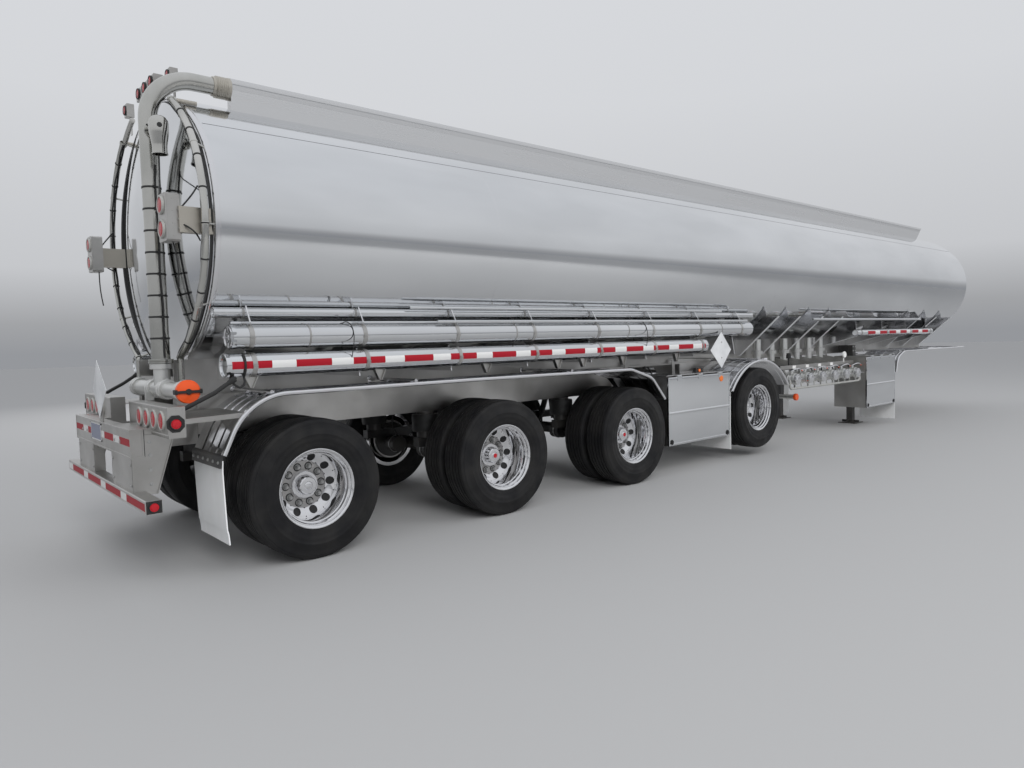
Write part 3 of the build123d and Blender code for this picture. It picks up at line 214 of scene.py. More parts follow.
def carried(section, path):
    """A closed section of (across, up) points carried along a path that stays square to Y.

    Across is Y, and up is the path's direction crossed with it."""
    path, across = np.asarray(path, float), np.array([0.0, 1.0, 0.0])
    section = np.asarray(section, float)
    way = np.gradient(path, axis=0)
    way /= np.linalg.norm(way, axis=1, keepdims=True)
    up = np.cross(way, across)
    rows = path[:, None] + section[None, :, :1] * across + section[None, :, 1:] * up[:, None]
    n = len(section)
    faces = grid_faces(len(path), n, close_columns=True)
    faces += [list(range(n)), list(range((len(path) - 1) * n, len(path) * n))[::-1]]
    return outward(rows.reshape(-1, 3), faces)


def turned(rows, centre, axis, sides=40):
    """A closed turned piece, faces outwards."""
    return outward(*spin(rows, centre, axis, sides))


def disc(start, end, radius):
    """The section of a plain disc between two places along its axis."""
    return [(start, 0), (start, radius), (end, radius), (end, 0)]


def rectangle(start, end, low, high):
    """The four corners of a rectangular section, such as a plain hoop's."""
    return [(start, low), (start, high), (end, high), (end, low)]


def bolts(spots, axis, radius=0.008, height=0.006):
    """Hexagon bolt heads on washers at many spots, all along one axis."""
    head = [(-0.002, 0.0), (-0.002, radius * 1.5), (0.0012, radius * 1.5), (0.0012, radius * 1.1),
            (height * 0.8, radius * 1.1), (height, radius * 0.9), (height, 0.0)]
    return [turned(head, spot, axis, 12) for spot in spots]


def rivets(spots, axis, radius=0.005, height=0.0022):
    """Low round rivet heads at many spots, all along one axis."""
    head = [(-0.002, 0.0), (-0.002, radius), (0.0004, radius), (height * 0.75, radius * 0.7), (height, 0.0)]
    return [turned(head, spot, axis, 10) for spot in spots]


def spaced(start, end, count):
    """Evenly spaced points between two points, ends included."""
    return np.linspace(start, end, count)


def fillet(points, radius, steps=14):
    """A polyline whose corners are arcs of the given radius, tangent to both sides."""
    points = np.asarray(points, float)
    out = [points[:1]]
    for a, b, c in zip(points, points[1:], points[2:]):
        u, v = (a - b) / np.linalg.norm(a - b), (c - b) / np.linalg.norm(c - b)
        half = math.acos(np.clip(u @ v, -1, 1)) / 2
        centre = b + (u + v) / np.linalg.norm(u + v) * radius / math.sin(half)
        s, e = b + u * radius / math.tan(half) - centre, b + v * radius / math.tan(half) - centre
        turn = math.acos(np.clip(s @ e / radius ** 2, -1, 1))
        t = np.linspace(0, 1, steps)[:, None]
        out.append(centre + (np.sin((1 - t) * turn) * s + np.sin(t * turn) * e) / math.sin(turn))
    return np.concatenate(out + [points[-1:]])


# %% [markdown]
# ## Finishes
# Polished sheet is a metal shader whose reflections carry the look: low roughness, a very faint
# waviness from rolling and welding, and fine polishing lines that run along the tank. All patterns
# use Object coordinates, so they stay on the metal when it moves.


def finish(name, color, metallic=0.0, roughness=0.5, coat=0.0):
    """A Principled material with its fixed values set on the shader's own sockets."""
    m = bpy.data.materials.new(name)
    m.use_nodes = True
    shader = m.node_tree.nodes["Principled BSDF"]
    shader.inputs["Base Color"].default_value = (*color, 1)
    shader.inputs["Metallic"].default_value = metallic
    shader.inputs["Roughness"].default_value = roughness
    shader.inputs["Coat Weight"].default_value = coat
    return m


def pattern(m, scale, stretch=(1, 1, 1), detail=4.0, kind="ShaderNodeTexNoise"):
    """A noise pattern on Object coordinates, stretched along each axis."""
    nodes, links = m.node_tree.nodes, m.node_tree.links
    place = nodes.new("ShaderNodeTexCoord")
    turn = nodes.new("ShaderNodeMapping")
    turn.inputs["Scale"].default_value = stretch
    links.new(place.outputs["Object"], turn.inputs["Vector"])
    texture = nodes.new(kind)
    texture.inputs["Scale"].default_value = scale
    if "Detail" in texture.inputs:
        texture.inputs["Detail"].default_value = detail
    links.new(turn.outputs["Vector"], texture.inputs["Vector"])
    return texture.outputs[0]


def spread(m, source, low, high):
    """Makes a pattern the roughness, remapped from its middle range to low and high."""
    nodes, links = m.node_tree.nodes, m.node_tree.links
    remap = nodes.new("ShaderNodeMapRange")
    remap.inputs["From Min"].default_value = 0.3
    remap.inputs["From Max"].default_value = 0.7
    remap.inputs["To Min"].default_value = low
    remap.inputs["To Max"].default_value = high
    links.new(source, remap.inputs["Value"])
    links.new(remap.outputs["Result"], nodes["Principled BSDF"].inputs["Roughness"])


def tint(m, source, dark, light, low=0.35, high=0.65):
    """Colours a surface between two tones by a pattern."""
    nodes, links = m.node_tree.nodes, m.node_tree.links
    ramp = nodes.new("ShaderNodeValToRGB")
    ramp.color_ramp.elements[0].position, ramp.color_ramp.elements[0].color = low, (*dark, 1)
    ramp.color_ramp.elements[1].position, ramp.color_ramp.elements[1].color = high, (*light, 1)
    links.new(source, ramp.inputs["Fac"])
    links.new(ramp.outputs["Color"], nodes["Principled BSDF"].inputs["Base Color"])


def relief(m, source, strength, distance, after=None):
    """Adds a bump from a pattern, on top of an earlier bump where there is one."""
    nodes, links = m.node_tree.nodes, m.node_tree.links
    bump = nodes.new("ShaderNodeBump")
    bump.inputs["Strength"].default_value = strength
    bump.inputs["Distance"].default_value = distance
    links.new(source, bump.inputs["Height"])
    if after is not None:
        links.new(after, bump.inputs["Normal"])
    links.new(bump.outputs["Normal"], nodes["Principled BSDF"].inputs["Normal"])
    return bump.outputs["Normal"]


def cells(m, scale, strength, distance):
    """The small cells that throw light back in lenses and tape."""
    relief(m, pattern(m, scale, detail=0, kind="ShaderNodeTexVoronoi"), strength, distance)


# %% Metals
polished = finish("polished_sheet", (0.8, 0.81, 0.82), 1.0, 0.1)
spread(polished, pattern(polished, 1.0, (1.2, 9, 9), 6), 0.035, 0.085)
tint(polished, pattern(polished, 0.8, (0.6, 2, 2), 3), (0.7, 0.71, 0.72), (0.8, 0.81, 0.82))
wave = relief(polished, pattern(polished, 1.0, (0.9, 1.6, 1.6), 1), 0.12, 0.012)
relief(polished, pattern(polished, 14.0, (1, 22, 22), 2), 0.05, 0.0006, wave)

bright = finish("bright_trim", (0.76, 0.76, 0.77), 1.0, 0.14)
spread(bright, pattern(bright, 3.0, (1, 6, 6), 5), 0.09, 0.18)
relief(bright, pattern(bright, 18, detail=2), 0.06, 0.001)

satin = finish("satin_sheet", (0.6, 0.6, 0.6), 1.0, 0.36)
spread(satin, pattern(satin, 4.0, detail=6), 0.28, 0.46)
tint(satin, pattern(satin, 1.7, detail=5), (0.44, 0.43, 0.41), (0.6, 0.59, 0.57))
relief(satin, pattern(satin, 30, (1, 6, 6), 3), 0.1, 0.0008)

rail_sheet = finish("rail_sheet", (0.7, 0.7, 0.7), 1.0, 0.26)
spread(rail_sheet, pattern(rail_sheet, 2.0, (0.5, 5, 5), 3), 0.24, 0.29)

pipe_metal = finish("drawn_pipe", (0.62, 0.62, 0.6), 1.0, 0.3)
spread(pipe_metal, pattern(pipe_metal, 5.0, (1, 1, 0.4), 6), 0.13, 0.25)
tint(pipe_metal, pattern(pipe_metal, 2.4, (1, 1, 0.5), 4), (0.46, 0.46, 0.43), (0.64, 0.63, 0.6))

cast = finish("cast_metal", (0.55, 0.55, 0.54), 1.0, 0.42)
relief(cast, pattern(cast, 120, detail=3), 0.25, 0.001)
spread(cast, pattern(cast, 8.0, detail=5), 0.34, 0.52)

alloy = finish("wheel_polish", (0.78, 0.78, 0.79), 1.0, 0.08)
spread(alloy, pattern(alloy, 6.0, detail=3), 0.05, 0.11)

machined = finish("machined_face", (0.46, 0.45, 0.44), 1.0, 0.3)
spread(machined, pattern(machined, 20.0, detail=4), 0.24, 0.4)

black_steel = finish("black_steel", (0.035, 0.035, 0.036), 0.0, 0.42, 0.15)
tint(black_steel, pattern(black_steel, 3.0, detail=6), (0.02, 0.02, 0.021), (0.07, 0.066, 0.06))
relief(black_steel, pattern(black_steel, 90, detail=2), 0.08, 0.001)

# %% Rubber, plastic and tape
rubber = finish("tyre_rubber", (0.012, 0.012, 0.013), 0.0, 0.62)
rubber.node_tree.nodes["Principled BSDF"].inputs["Specular IOR Level"].default_value = 0.3
tint(rubber, pattern(rubber, 5.0, detail=6), (0.008, 0.008, 0.009), (0.018, 0.0175, 0.017))
spread(rubber, pattern(rubber, 9.0, detail=4), 0.5, 0.74)
relief(rubber, pattern(rubber, 160, detail=2), 0.12, 0.0008)

black_rubber = finish("black_rubber", (0.018, 0.018, 0.018), 0.0, 0.5)
relief(black_rubber, pattern(black_rubber, 120, detail=2), 0.1, 0.0006)

flap_white = finish("flap_white", (0.72, 0.73, 0.73), 0.0, 0.38)
tint(flap_white, pattern(flap_white, 3.0, (1, 1, 0.5), 6), (0.72, 0.72, 0.71), (0.84, 0.85, 0.85), 0.3, 0.6)

red_lens = finish("red_lens", (0.42, 0.006, 0.014), 0.0, 0.2, 0.1)
cells(red_lens, 260, 0.3, 0.002)

amber_lens = finish("amber_lens", (0.75, 0.16, 0.01), 0.0, 0.14, 0.6)
cells(amber_lens, 260, 0.3, 0.002)

tape_red = finish("tape_red", (0.33, 0.008, 0.018), 0.0, 0.5)
tape_red.node_tree.nodes["Principled BSDF"].inputs["Specular IOR Level"].default_value = 0.25
cells(tape_red, 420, 0.2, 0.0008)

tape_white = finish("tape_white", (0.7, 0.7, 0.69), 0.15, 0.34, 0.3)
cells(tape_white, 420, 0.2, 0.0008)

orange_cap = finish("orange_cap", (0.72, 0.085, 0.012), 0.0, 0.4, 0.1)
relief(orange_cap, pattern(orange_cap, 60, detail=3), 0.1, 0.001)

pale_cast = finish("pale_casting", (0.74, 0.74, 0.72), 1.0, 0.38)
relief(pale_cast, pattern(pale_cast, 150, detail=3), 0.2, 0.0008)
spread(pale_cast, pattern(pale_cast, 7.0, detail=5), 0.3, 0.5)

tan_metal = finish("tan_braid", (0.52, 0.49, 0.43), 0.9, 0.4)
relief(tan_metal, pattern(tan_metal, 300, detail=1), 0.3, 0.0008)

pale_trim = finish("pale_trim", (0.42, 0.42, 0.4), 0.3, 0.4)

dark_seam = finish("dark_seam", (0.1, 0.1, 0.11), 0.6, 0.45)

bluish_plate = finish("bluish_plate", (0.13, 0.15, 0.24), 0.0, 0.35, 0.2)

gauge_white = finish("gauge_white", (0.8, 0.8, 0.78), 0.0, 0.25, 0.4)

bare_plate = finish("bare_plate", (0.74, 0.75, 0.76), 0.2, 0.35)
tint(bare_plate, pattern(bare_plate, 6.0, detail=5), (0.66, 0.67, 0.68), (0.8, 0.81, 0.82))

# %% [markdown]
# The CAD nodes that keep their own shape get the finish of their real metal.

# %% Finishes on the CAD nodes
NODES_OF = (
    (polished, "tank cabinet_mid_door cabinet_front_door"),
    (bright, "rear_ring side_tubes hose_tubes tube_lid_right tube_lid_left"),
    (bright, "tube_brackets tridem_fenders single_fenders"),
    (rail_sheet, "rollover_rail_right rollover_rail_left"),
    (satin, "dome_necks roof_vents lamp_boxes rear_guard frame_rails cross_members cabinet_mid cabinet_front"),
    (pipe_metal, "vapour_pipe drain_loop"), (cast, "vapour_tee outlet_manifold"), (red_lens, "lamps"),
    (black_steel, "coupler landing_gear tridem_axles lift_axle tridem_suspension lift_suspension tie_rod"),
    (flap_white, "mud_flaps"), (bare_plate, "placards"),
)
FINISH_OF = {name: chosen for chosen, names in NODES_OF for name in names.split()}
GROUP_FINISH = {"dome": cast, "wheels": alloy, "tyres": rubber, "knuckle": black_steel}
for name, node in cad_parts.items():
    node.data.materials.clear()
    node.data.materials.append(FINISH_OF.get(name) or GROUP_FINISH[name.split("_")[0]])

# %% [markdown]
# ## The tank
# The barrel's section is an oval of four arcs that meet smoothly: two wide crowns and two tighter
# sides. A function walks round it by length, so points lie evenly. The barrel is that oval carried
# along X, and each head is the oval shrinking to nothing on a ball's surface.

# %% The oval
SIDE_C = HALF_W - SIDE_R
DROP = (SIDE_C ** 2 - (HALF_H - SIDE_R) ** 2) / (2 * (HALF_H - SIDE_R))
CROWN_R = HALF_H + DROP
HALF_ANGLE = math.atan2(SIDE_C, DROP)


def oval(t, inset=0.0):
    """Points (y, z) of the tank's section, and their outward directions, at shares t of a turn.

    Each quarter is half a crown arc of radius CROWN_R then half a side arc of radius SIDE_R."""
    t = np.asarray(t, float) % 1.0
    crown, side = CROWN_R - inset, SIDE_R - inset
    lengths = np.array([crown * HALF_ANGLE, side * (np.pi / 2 - HALF_ANGLE)])
    s = (t * 4 % 1) * lengths.sum()
    quarter = np.floor(t * 4).astype(int)
    s = np.where(quarter % 2 == 1, lengths.sum() - s, s)
    on_crown = s <= lengths[0]
    a = np.where(on_crown, s / crown, HALF_ANGLE + (s - lengths[0]) / side)
    y = np.where(on_crown, crown * np.sin(a), SIDE_C + side * np.sin(a))
    z = np.where(on_crown, crown * np.cos(a) - DROP, side * np.cos(a))
    sy = np.where(quarter >= 2, -1.0, 1.0)
    sz = np.where((quarter == 1) | (quarter == 2), -1.0, 1.0)
    out = np.stack([sy * np.sin(a), sz * np.cos(a)], -1)
    return np.stack([sy * y, TANK_Z + sz * z], -1), out


AROUND = 192
turns = np.arange(AROUND) / AROUND


def oval_rows(stations):
    """Rings of the oval at rows of (x, inset): each ring is the section drawn in by its inset."""
    rows = []
    for x, inset in stations:
        yz, _ = oval(turns, inset)
        rows.append(np.column_stack([np.full(AROUND, x), yz]))
    return np.stack(rows)


def dished(x, bulge, way, inset):
    """A head: the oval scaled to nothing, on a ball that bulges by the given depth at the middle.

    x goes from the rim by sqrt(R squared - r squared), with R from the half width and the bulge."""
    radius = ((HALF_W - inset) ** 2 + bulge ** 2) / (2 * bulge)
    share = np.cos(np.linspace(0, np.pi / 2, 24))[:-1]
    edge, _ = oval(turns, inset)
    yz = (edge - [0, TANK_Z])[None] * share[:, None, None]
    r = np.linalg.norm(yz, axis=-1)
    depth = np.sqrt(radius ** 2 - r ** 2) - (radius - bulge)
    points = np.concatenate([(x + way * depth)[..., None], yz + [0, TANK_Z]], -1)
    tip = [[x + way * bulge, 0, TANK_Z]]
    return points, tip


# %% Barrel and heads
REAR_INSET, FRONT_INSET = 0.04, 0.04
rims = oval_rows([(SHELL[0], REAR_INSET - 0.001), (SHELL[1], FRONT_INSET - 0.001)])
x_rows = np.concatenate([[SHELL[0]], np.linspace(SHELL[0] + 0.02, SHELL[1] - 0.02, 60), [SHELL[1]]])
barrel = oval_rows([(x, 0.0) for x in x_rows])
rear, rear_tip = dished(SHELL[0], 0.19, -1, REAR_INSET)
front, front_tip = dished(SHELL[1], 0.24, 1, FRONT_INSET)
rows = np.concatenate([rear[::-1], rims[:1], barrel, rims[1:], front])
points = np.concatenate([rows.reshape(-1, 3), rear_tip, front_tip])
count = len(rows) * AROUND
faces = [f[::-1] for f in grid_faces(len(rows), AROUND, close_columns=True)]
k = np.arange(AROUND)
faces += np.stack([np.full(AROUND, count), (k + 1) % AROUND, k], -1).tolist()
last = (len(rows) - 1) * AROUND
faces += np.stack([np.full(AROUND, count + 1), last + k, last + (k + 1) % AROUND], -1).tolist()
tank = add_mesh("tank_shell", *outward(points, faces), polished, angle=30)
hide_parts("tank")
print("tank faces", len(faces))

# %% [markdown]
# ## The rear bead and the roof rails
# The shell's rear edge is rolled over the head's rim into a polished bead. It is one closed section,
# rounded at its outer corner, carried round the oval. The two rollover rails on the roof are folded
# channels whose feet follow the shell.

# %% Rear bead
def carried_round(section):
    """A closed section of (x, inset) points carried once round the tank's oval."""
    rows = oval_rows(section)
    return outward(rows.reshape(-1, 3), grid_faces(len(rows), AROUND, True, True))


bead_turn = np.linspace(0, np.pi / 2, 10)
bead_section = [(-0.6, 0.0), (-0.603, 0.0), (-0.605, 0.0012), (-0.607, 0.0)]
bead_section += list(zip(-0.616 - 0.03 * np.sin(bead_turn), 0.03 - 0.03 * np.cos(bead_turn)))
bead_section += [(-0.646, 0.037), (-0.643, 0.04), (-0.6, 0.04)]
bead = add_mesh("rear_bead", *carried_round(bead_section), bright)
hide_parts("rear_ring")
# The black ring in the groove behind the bead is painted shade: it stands for the shadowed gap between the
# bead, the head and the pipes.
groove_shade = [(-0.645, 0.03), (-0.652, 0.033), (-0.654, 0.04), (-0.654, 0.07), (-0.65, 0.074), (-0.612, 0.074),
        (-0.612, 0.041), (-0.645, 0.041)]
add_mesh("bead_groove_shade", *carried_round(groove_shade), black_rubber)

# %% Rails
def rail(sign):
    """A folded channel on the roof: (y, z) points of its section, joined along X, its nose sloped."""
    low, top, nose = 3.33, 3.64, 13.7
    section = np.array([(0.49, low), (0.49, 3.632), (0.4925, 3.6375), (0.498, top), (0.562, top),
                        (0.5675, 3.6375), (0.57, 3.632), (0.57, 3.6), (0.564, 3.594), (0.562, 3.56),
                        (0.57, 3.554), (0.57, low)])
    x = np.concatenate([np.linspace(-0.24, 13.2, 40), [nose]])
    cut = 1.2 * (top - section[:, 1])
    rows = np.stack([np.minimum(np.broadcast_to(x[:, None], (len(x), len(section))), nose - cut),
                     np.broadcast_to(sign * section[:, 0], (len(x), len(section))),
                     np.broadcast_to(section[:, 1], (len(x), len(section)))], -1)
    faces = grid_faces(len(x), len(section), close_columns=True)
    n = len(section)
    faces += [list(range(n)), list(range((len(x) - 1) * n, len(x) * n))[::-1]]
    return outward(rows.reshape(-1, 3), faces)


for side, sign in SIDES.items():
    piece = add_mesh(f"roof_rail_{side}", *rail(sign), rail_sheet, smooth=False)
    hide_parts(f"rollover_rail_{side}")

# %% [markdown]
# Sheets are joined by welds: one long seam runs along each flank of the barrel, and a ring of weld
# stands at every bulkhead. A bead is a small half-round that follows the surface.

# %% Weld beads
def share_at_z(z):
    """The share of a turn on the right flank where the section has height z."""
    t = np.linspace(0.5, 1.0, 2000)
    yz, _ = oval(t)
    return np.interp(z, yz[:, 1], t)


HALF_ROUND = ((-0.004, -0.001), (-0.0025, 0.0006), (0, 0.0009), (0.0025, 0.0006), (0.004, -0.001))
parts = []
for z in (3.15, 1.665):
    yz, out = oval(np.array([share_at_z(z)]))
    yz, out = yz[0], out[0]
    along = np.array([out[1], -out[0]])
    bead = [yz + along * w + out * h for w, h in HALF_ROUND]
    x = np.linspace(-0.59, 14.14, 90)
    rows = np.stack([np.column_stack([np.full(5, s), bead]) for s in x])
    faces = grid_faces(len(x), 5, close_columns=True)
    faces += [[0, 1, 2, 3, 4], [len(x) * 5 - 1 - k for k in range(5)]]
    parts.append(outward(rows.reshape(-1, 3), faces))
seams = mirrored(parts)
for k in range(1, 6):
    x = SHELL[0] + k * (SHELL[1] - SHELL[0]) / 6
    seams.append(carried_round([(x - 0.004, 0.001), (x - 0.002, -0.0004), (x, -0.0006), (x + 0.002, -0.0004),
                                (x + 0.004, 0.001)]))
add_parts("weld_beads", seams[1:2] + seams[3:], bright)
add_parts("seam_lines", seams[:1] + seams[2:3], dark_seam)

# %% [markdown]
# ## Tyres and wheels
# A road tyre's section is a rounded outline with a flat tread cut by straight grooves. It is a
# profile swung round the axle, in half widths and radii in metres.

# %% Tyres
HALF_WIDTH, TYRE_WIDTH, DUAL_PITCH, RIM_HALF = 1.295, 0.279, 0.318, 0.115
OUTER_C = HALF_WIDTH - TYRE_WIDTH / 2
INNER_C = OUTER_C - DUAL_PITCH
MOUNT = (OUTER_C + INNER_C) / 2
TYRE_PROFILE = [
    (0.1025, 0.2845), (0.1025, 0.299), (0.112, 0.3005), (0.115, 0.303), (0.1165, 0.31), (0.1215, 0.318),
    (0.1225, 0.3215), (0.1245, 0.3225), (0.129, 0.338), (0.133, 0.356), (0.1345, 0.3575), (0.1368, 0.38),
    (0.1378, 0.402), (0.139, 0.4035), (0.139, 0.412), (0.138, 0.4135), (0.1376, 0.44), (0.1366, 0.4415),
    (0.135, 0.462), (0.132, 0.48), (0.1322, 0.4885), (0.129, 0.49), (0.1262, 0.502), (0.1215, 0.5115),
    (0.113, 0.517), (0.1, 0.5195), (0.086, 0.5205), (0.0855, 0.509), (0.0765, 0.509), (0.076, 0.5208),
    (0.048, 0.5215), (0.0475, 0.508), (0.0385, 0.508), (0.038, 0.5218), (0.006, 0.522), (0.0055, 0.5085),
]
half = np.array(TYRE_PROFILE)
whole = np.concatenate([half, half[::-1] * [-1, 1]])
for name, x in AXLE_X.items():
    for side, sign in SIDES.items():
        pair = [spin(whole, (x, sign * c, AXLE_Z[name]), (0, sign, 0), 120) for c in (OUTER_C, INNER_C)]
        tyre = add_parts(f"tyre_{name}_{side}", pair, rubber, f"wheel_{name}_{side}", angle=40)
        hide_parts(f"tyres_{name}_{side}")

# %% [markdown]
# A forged wheel has a deep polished dish with ten round hand holes. The band with the holes is made
# sector by sector: points on rays from a hole's middle run from its edge out to the sector's border,
# and every point takes its depth from the dish's profile at its radius.

# %% Wheel dishes
HOLES, HOLE_R, HOLE_AT = 10, 0.03, 0.213
BAND = (0.181, 0.25)
DISH_R = np.array([0.1, 0.15, 0.176, 0.181, 0.195, 0.225, 0.24, 0.25, 0.2555])
DISH_S = np.array([0.022, 0.022, 0.022, 0.0205, 0.024, 0.0415, 0.048, 0.05, 0.052])


def dish_depth(r):
    """How far the dish's outer face stands outboard of the mounting plane, at radius r."""
    return np.interp(r, DISH_R, DISH_S)


def holed_band():
    """The holed band as an array of (radius, angle, depth) rows, and its faces."""
    turn = turn_of(36)
    ray = np.stack([np.cos(turn), np.sin(turn)], -1)
    wedge = np.pi / HOLES
    reach = np.linspace(0, 0.12, 1201)
    spots = np.array([HOLE_AT, 0]) + reach[None, :, None] * ray[:, None]
    r, a = np.hypot(spots[..., 0], spots[..., 1]), np.arctan2(spots[..., 1], spots[..., 0])
    beyond = (r < BAND[0]) | (r > BAND[1]) | (np.abs(a) > wedge)
    border = reach[beyond.argmax(1)]
    t = np.array([0.0, 0.05, 0.2, 0.55, 1.0])
    away = HOLE_R + (border - HOLE_R)[None] * t[:, None]
    flat = np.array([HOLE_AT, 0]) + away[..., None] * ray[None]
    r, a = np.hypot(flat[..., 0], flat[..., 1]), np.arctan2(flat[..., 1], flat[..., 0])
    depth = dish_depth(r)
    rows = np.stack([r, a, depth - 0.0015 * (t[:, None] == 0)], -1)
    behind = rows[[0, -1]] - [0, 0, 0.02]
    rows = np.concatenate([behind[:1], rows, behind[1:]])
    return rows, grid_faces(len(rows), len(turn), close_rows=True, close_columns=True)


band_rows, band_faces = holed_band()


def wheel_parts(centre, sign):
    """Dish and rim of one wheel pair, placed at its axle's outer end."""
    parts = []
    for k in range(HOLES):
        r, a, s = band_rows.reshape(-1, 3).T
        a = a + 2 * np.pi * (k + 0.5) / HOLES + np.pi / 2
        p = np.stack([centre[0] + r * np.cos(a), centre[1] + sign * (MOUNT + s), centre[2] + r * np.sin(a)], -1)
        parts.append((p, band_faces if sign < 0 else [f[::-1] for f in band_faces]))
    c, m, h = OUTER_C, MOUNT, RIM_HALF
    lip, edge, seat = c + h, 0.2985, 0.2838
    rim = [(m + 0.05, 0.25), (m + 0.052, 0.2555), (m + 0.07, 0.253), (lip - 0.075, 0.25),
           (lip - 0.062, 0.254), (lip - 0.058, 0.262), (lip - 0.034, 0.264), (lip - 0.026, 0.27),
           (lip - 0.024, 0.278), (lip - 0.01, 0.28), (lip - 0.004, 0.286), (lip - 0.0005, 0.2925),
           (lip - 0.0015, 0.2975), (lip - 0.005, edge), (lip - 0.0105, 0.297), (lip - 0.012, 0.29),
           (lip - 0.013, seat), (c + 0.04, seat), (c + 0.02, 0.262), (c - 0.08, 0.262),
           (c - 0.1, seat), (c - h + 0.0125, seat), (c - h + 0.012, edge), (c - h, edge),
           (c - h, 0.27), (m + 0.022, 0.246), (m, 0.18), (m, 0.176), (m + 0.0205, 0.181), (m + 0.0045, 0.1835),
           (m + 0.026, 0.245)]
    inner = 2 * m - c
    near, far = inner - h, inner + h
    back = [(near, edge), (near + 0.012, edge), (near + 0.0125, seat), (inner + 0.1, seat),
            (far - 0.0125, seat), (far - 0.012, edge), (far, edge), (m, 0.18),
            (m - 0.022, 0.181), (inner - 0.02, 0.252), (near, 0.262)]
    return parts + [turned(rim, centre, (0, sign, 0), 120), turned(back, centre, (0, sign, 0), 72)]


LUGS, LUG_CIRCLE = 10, 0.1429


def lug_spots(centre):
    """Points at even angles on the circle of the wheel nuts."""
    turn = 2 * np.pi * np.arange(LUGS) / LUGS
    return centre + LUG_CIRCLE * np.stack([np.cos(turn), 0 * turn, np.sin(turn)], -1)


def hub_parts(centre, sign):
    """The mounting face, drum and hub of one wheel pair."""
    m = MOUNT
    face = [(m + 0.0205, 0.1815), (m + 0.0225, 0.178), (m + 0.023, 0.17), (m + 0.023, 0.116),
            (m + 0.026, 0.112), (m + 0.026, 0.1), (m - 0.02, 0.1), (m - 0.02, 0.18)]
    drum = [(0.705, 0.06), (0.705, 0.205), (0.709, 0.212), (0.755, 0.212), (0.757, 0.206), (0.8, 0.206),
            (0.802, 0.212), (m - 0.034, 0.212), (m - 0.034, 0.168), (m - 0.022, 0.168), (m - 0.022, 0.06)]
    return [turned(face, centre, (0, sign, 0), 96), turned(drum, centre, (0, sign, 0), 72)]


def nut_parts(centre, sign):
    """Ten hexagon nuts on washers, each with its stud's end."""
    m = MOUNT + 0.0232
    washer = [(m, 0.01), (m, 0.0225), (m + 0.004, 0.0222), (m + 0.005, 0.0205), (m + 0.005, 0.01)]
    nut = [(m + 0.005, 0.009), (m + 0.005, 0.0165), (m + 0.0065, 0.0185), (m + 0.024, 0.0185),
           (m + 0.027, 0.016), (m + 0.027, 0.009)]
    stud = [(m + 0.02, 0.0), (m + 0.02, 0.0108), (m + 0.036, 0.0108), (m + 0.038, 0.0088), (m + 0.038, 0.0)]
    return [turned(rows, at, (0, sign, 0), sides) for at in lug_spots(centre)
            for rows, sides in ((washer, 20), (nut, 6), (stud, 14))]


def hub_cap(centre, sign, big):
    """The chrome hub cap: a stepped cup, with a wider skirt on the lift axle."""
    m = MOUNT
    if big:
        rows = [(m + 0.026, 0.0), (m + 0.026, 0.104), (m + 0.064, 0.104), (m + 0.068, 0.098),
                (m + 0.07, 0.0885), (m + 0.098, 0.0865), (m + 0.102, 0.082), (m + 0.104, 0.072),
                (m + 0.114, 0.07), (m + 0.1185, 0.064), (m + 0.1195, 0.03), (m + 0.1215, 0.026),
                (m + 0.1215, 0.0)]
    else:
        rows = [(m + 0.026, 0.0), (m + 0.026, 0.104), (m + 0.052, 0.104), (m + 0.0555, 0.1),
                (m + 0.0555, 0.078), (m + 0.061, 0.0745), (m + 0.098, 0.07), (m + 0.1075, 0.0665),
                (m + 0.112, 0.06), (m + 0.113, 0.034), (m + 0.1175, 0.03), (m + 0.1205, 0.024),
                (m + 0.1215, 0.0)]
    return turned(rows, centre, (0, sign, 0), 64)


for name, x in AXLE_X.items():
    for side, sign in SIDES.items():
        centre, body = (x, 0.0, AXLE_Z[name]), f"wheel_{name}_{side}"
        wheel = add_parts(f"rims_{name}_{side}", wheel_parts(centre, sign), alloy, body, angle=28)
        add_parts(f"hub_{name}_{side}", hub_parts(centre, sign), machined, body, angle=28)
        add_parts(f"nuts_{name}_{side}", nut_parts(centre, sign), cast, body, angle=25)
        add_mesh(f"cap_{name}_{side}", *hub_cap(centre, sign, name == "4"), alloy, body, angle=28)
        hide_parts(f"wheels_{name}_{side}")
        # The black ring just behind the holed band and the black disc under every nut are painted shade: they
        # stand for the dark recesses seen through the hand holes and round the nuts.
        reach = np.array([0.1834, 0.19, 0.199, 0.213, 0.226, 0.238, 0.2465])
        floor = MOUNT + dish_depth(reach) - 0.012
        dark = np.concatenate([np.stack([floor, reach], -1), np.stack([floor - 0.003, reach], -1)[::-1]])
        painted_recess_shade = [turned(dark, centre, (0, sign, 0), 72)]
        nut_shade_disc = disc(MOUNT + 0.0215, MOUNT + 0.0236, 0.031)
        painted_recess_shade += [turned(nut_shade_disc, at, (0, sign, 0), 24) for at in lug_spots(centre)]
        if name in "23":
            window = [(MOUNT + 0.1, 0.0), (MOUNT + 0.1219, 0.0), (MOUNT + 0.1219, 0.021), (MOUNT + 0.1, 0.021)]
            add_mesh(f"oil_window_{name}_{side}", *turned(window, centre, (0, sign, 0), 28), red_lens, body)
        add_parts(f"wells_{name}_{side}", painted_recess_shade, black_rubber, body)
print("wheels done")

# %% [markdown]
# ## Pipes
# The vapour pipe leaves the right rail, turns over the bead and comes down the rear head. Two thinner
# pipes take rain off the roof, pass round the sides behind the bead and end below the shell. The
# pipes carry black cables, held by ties.

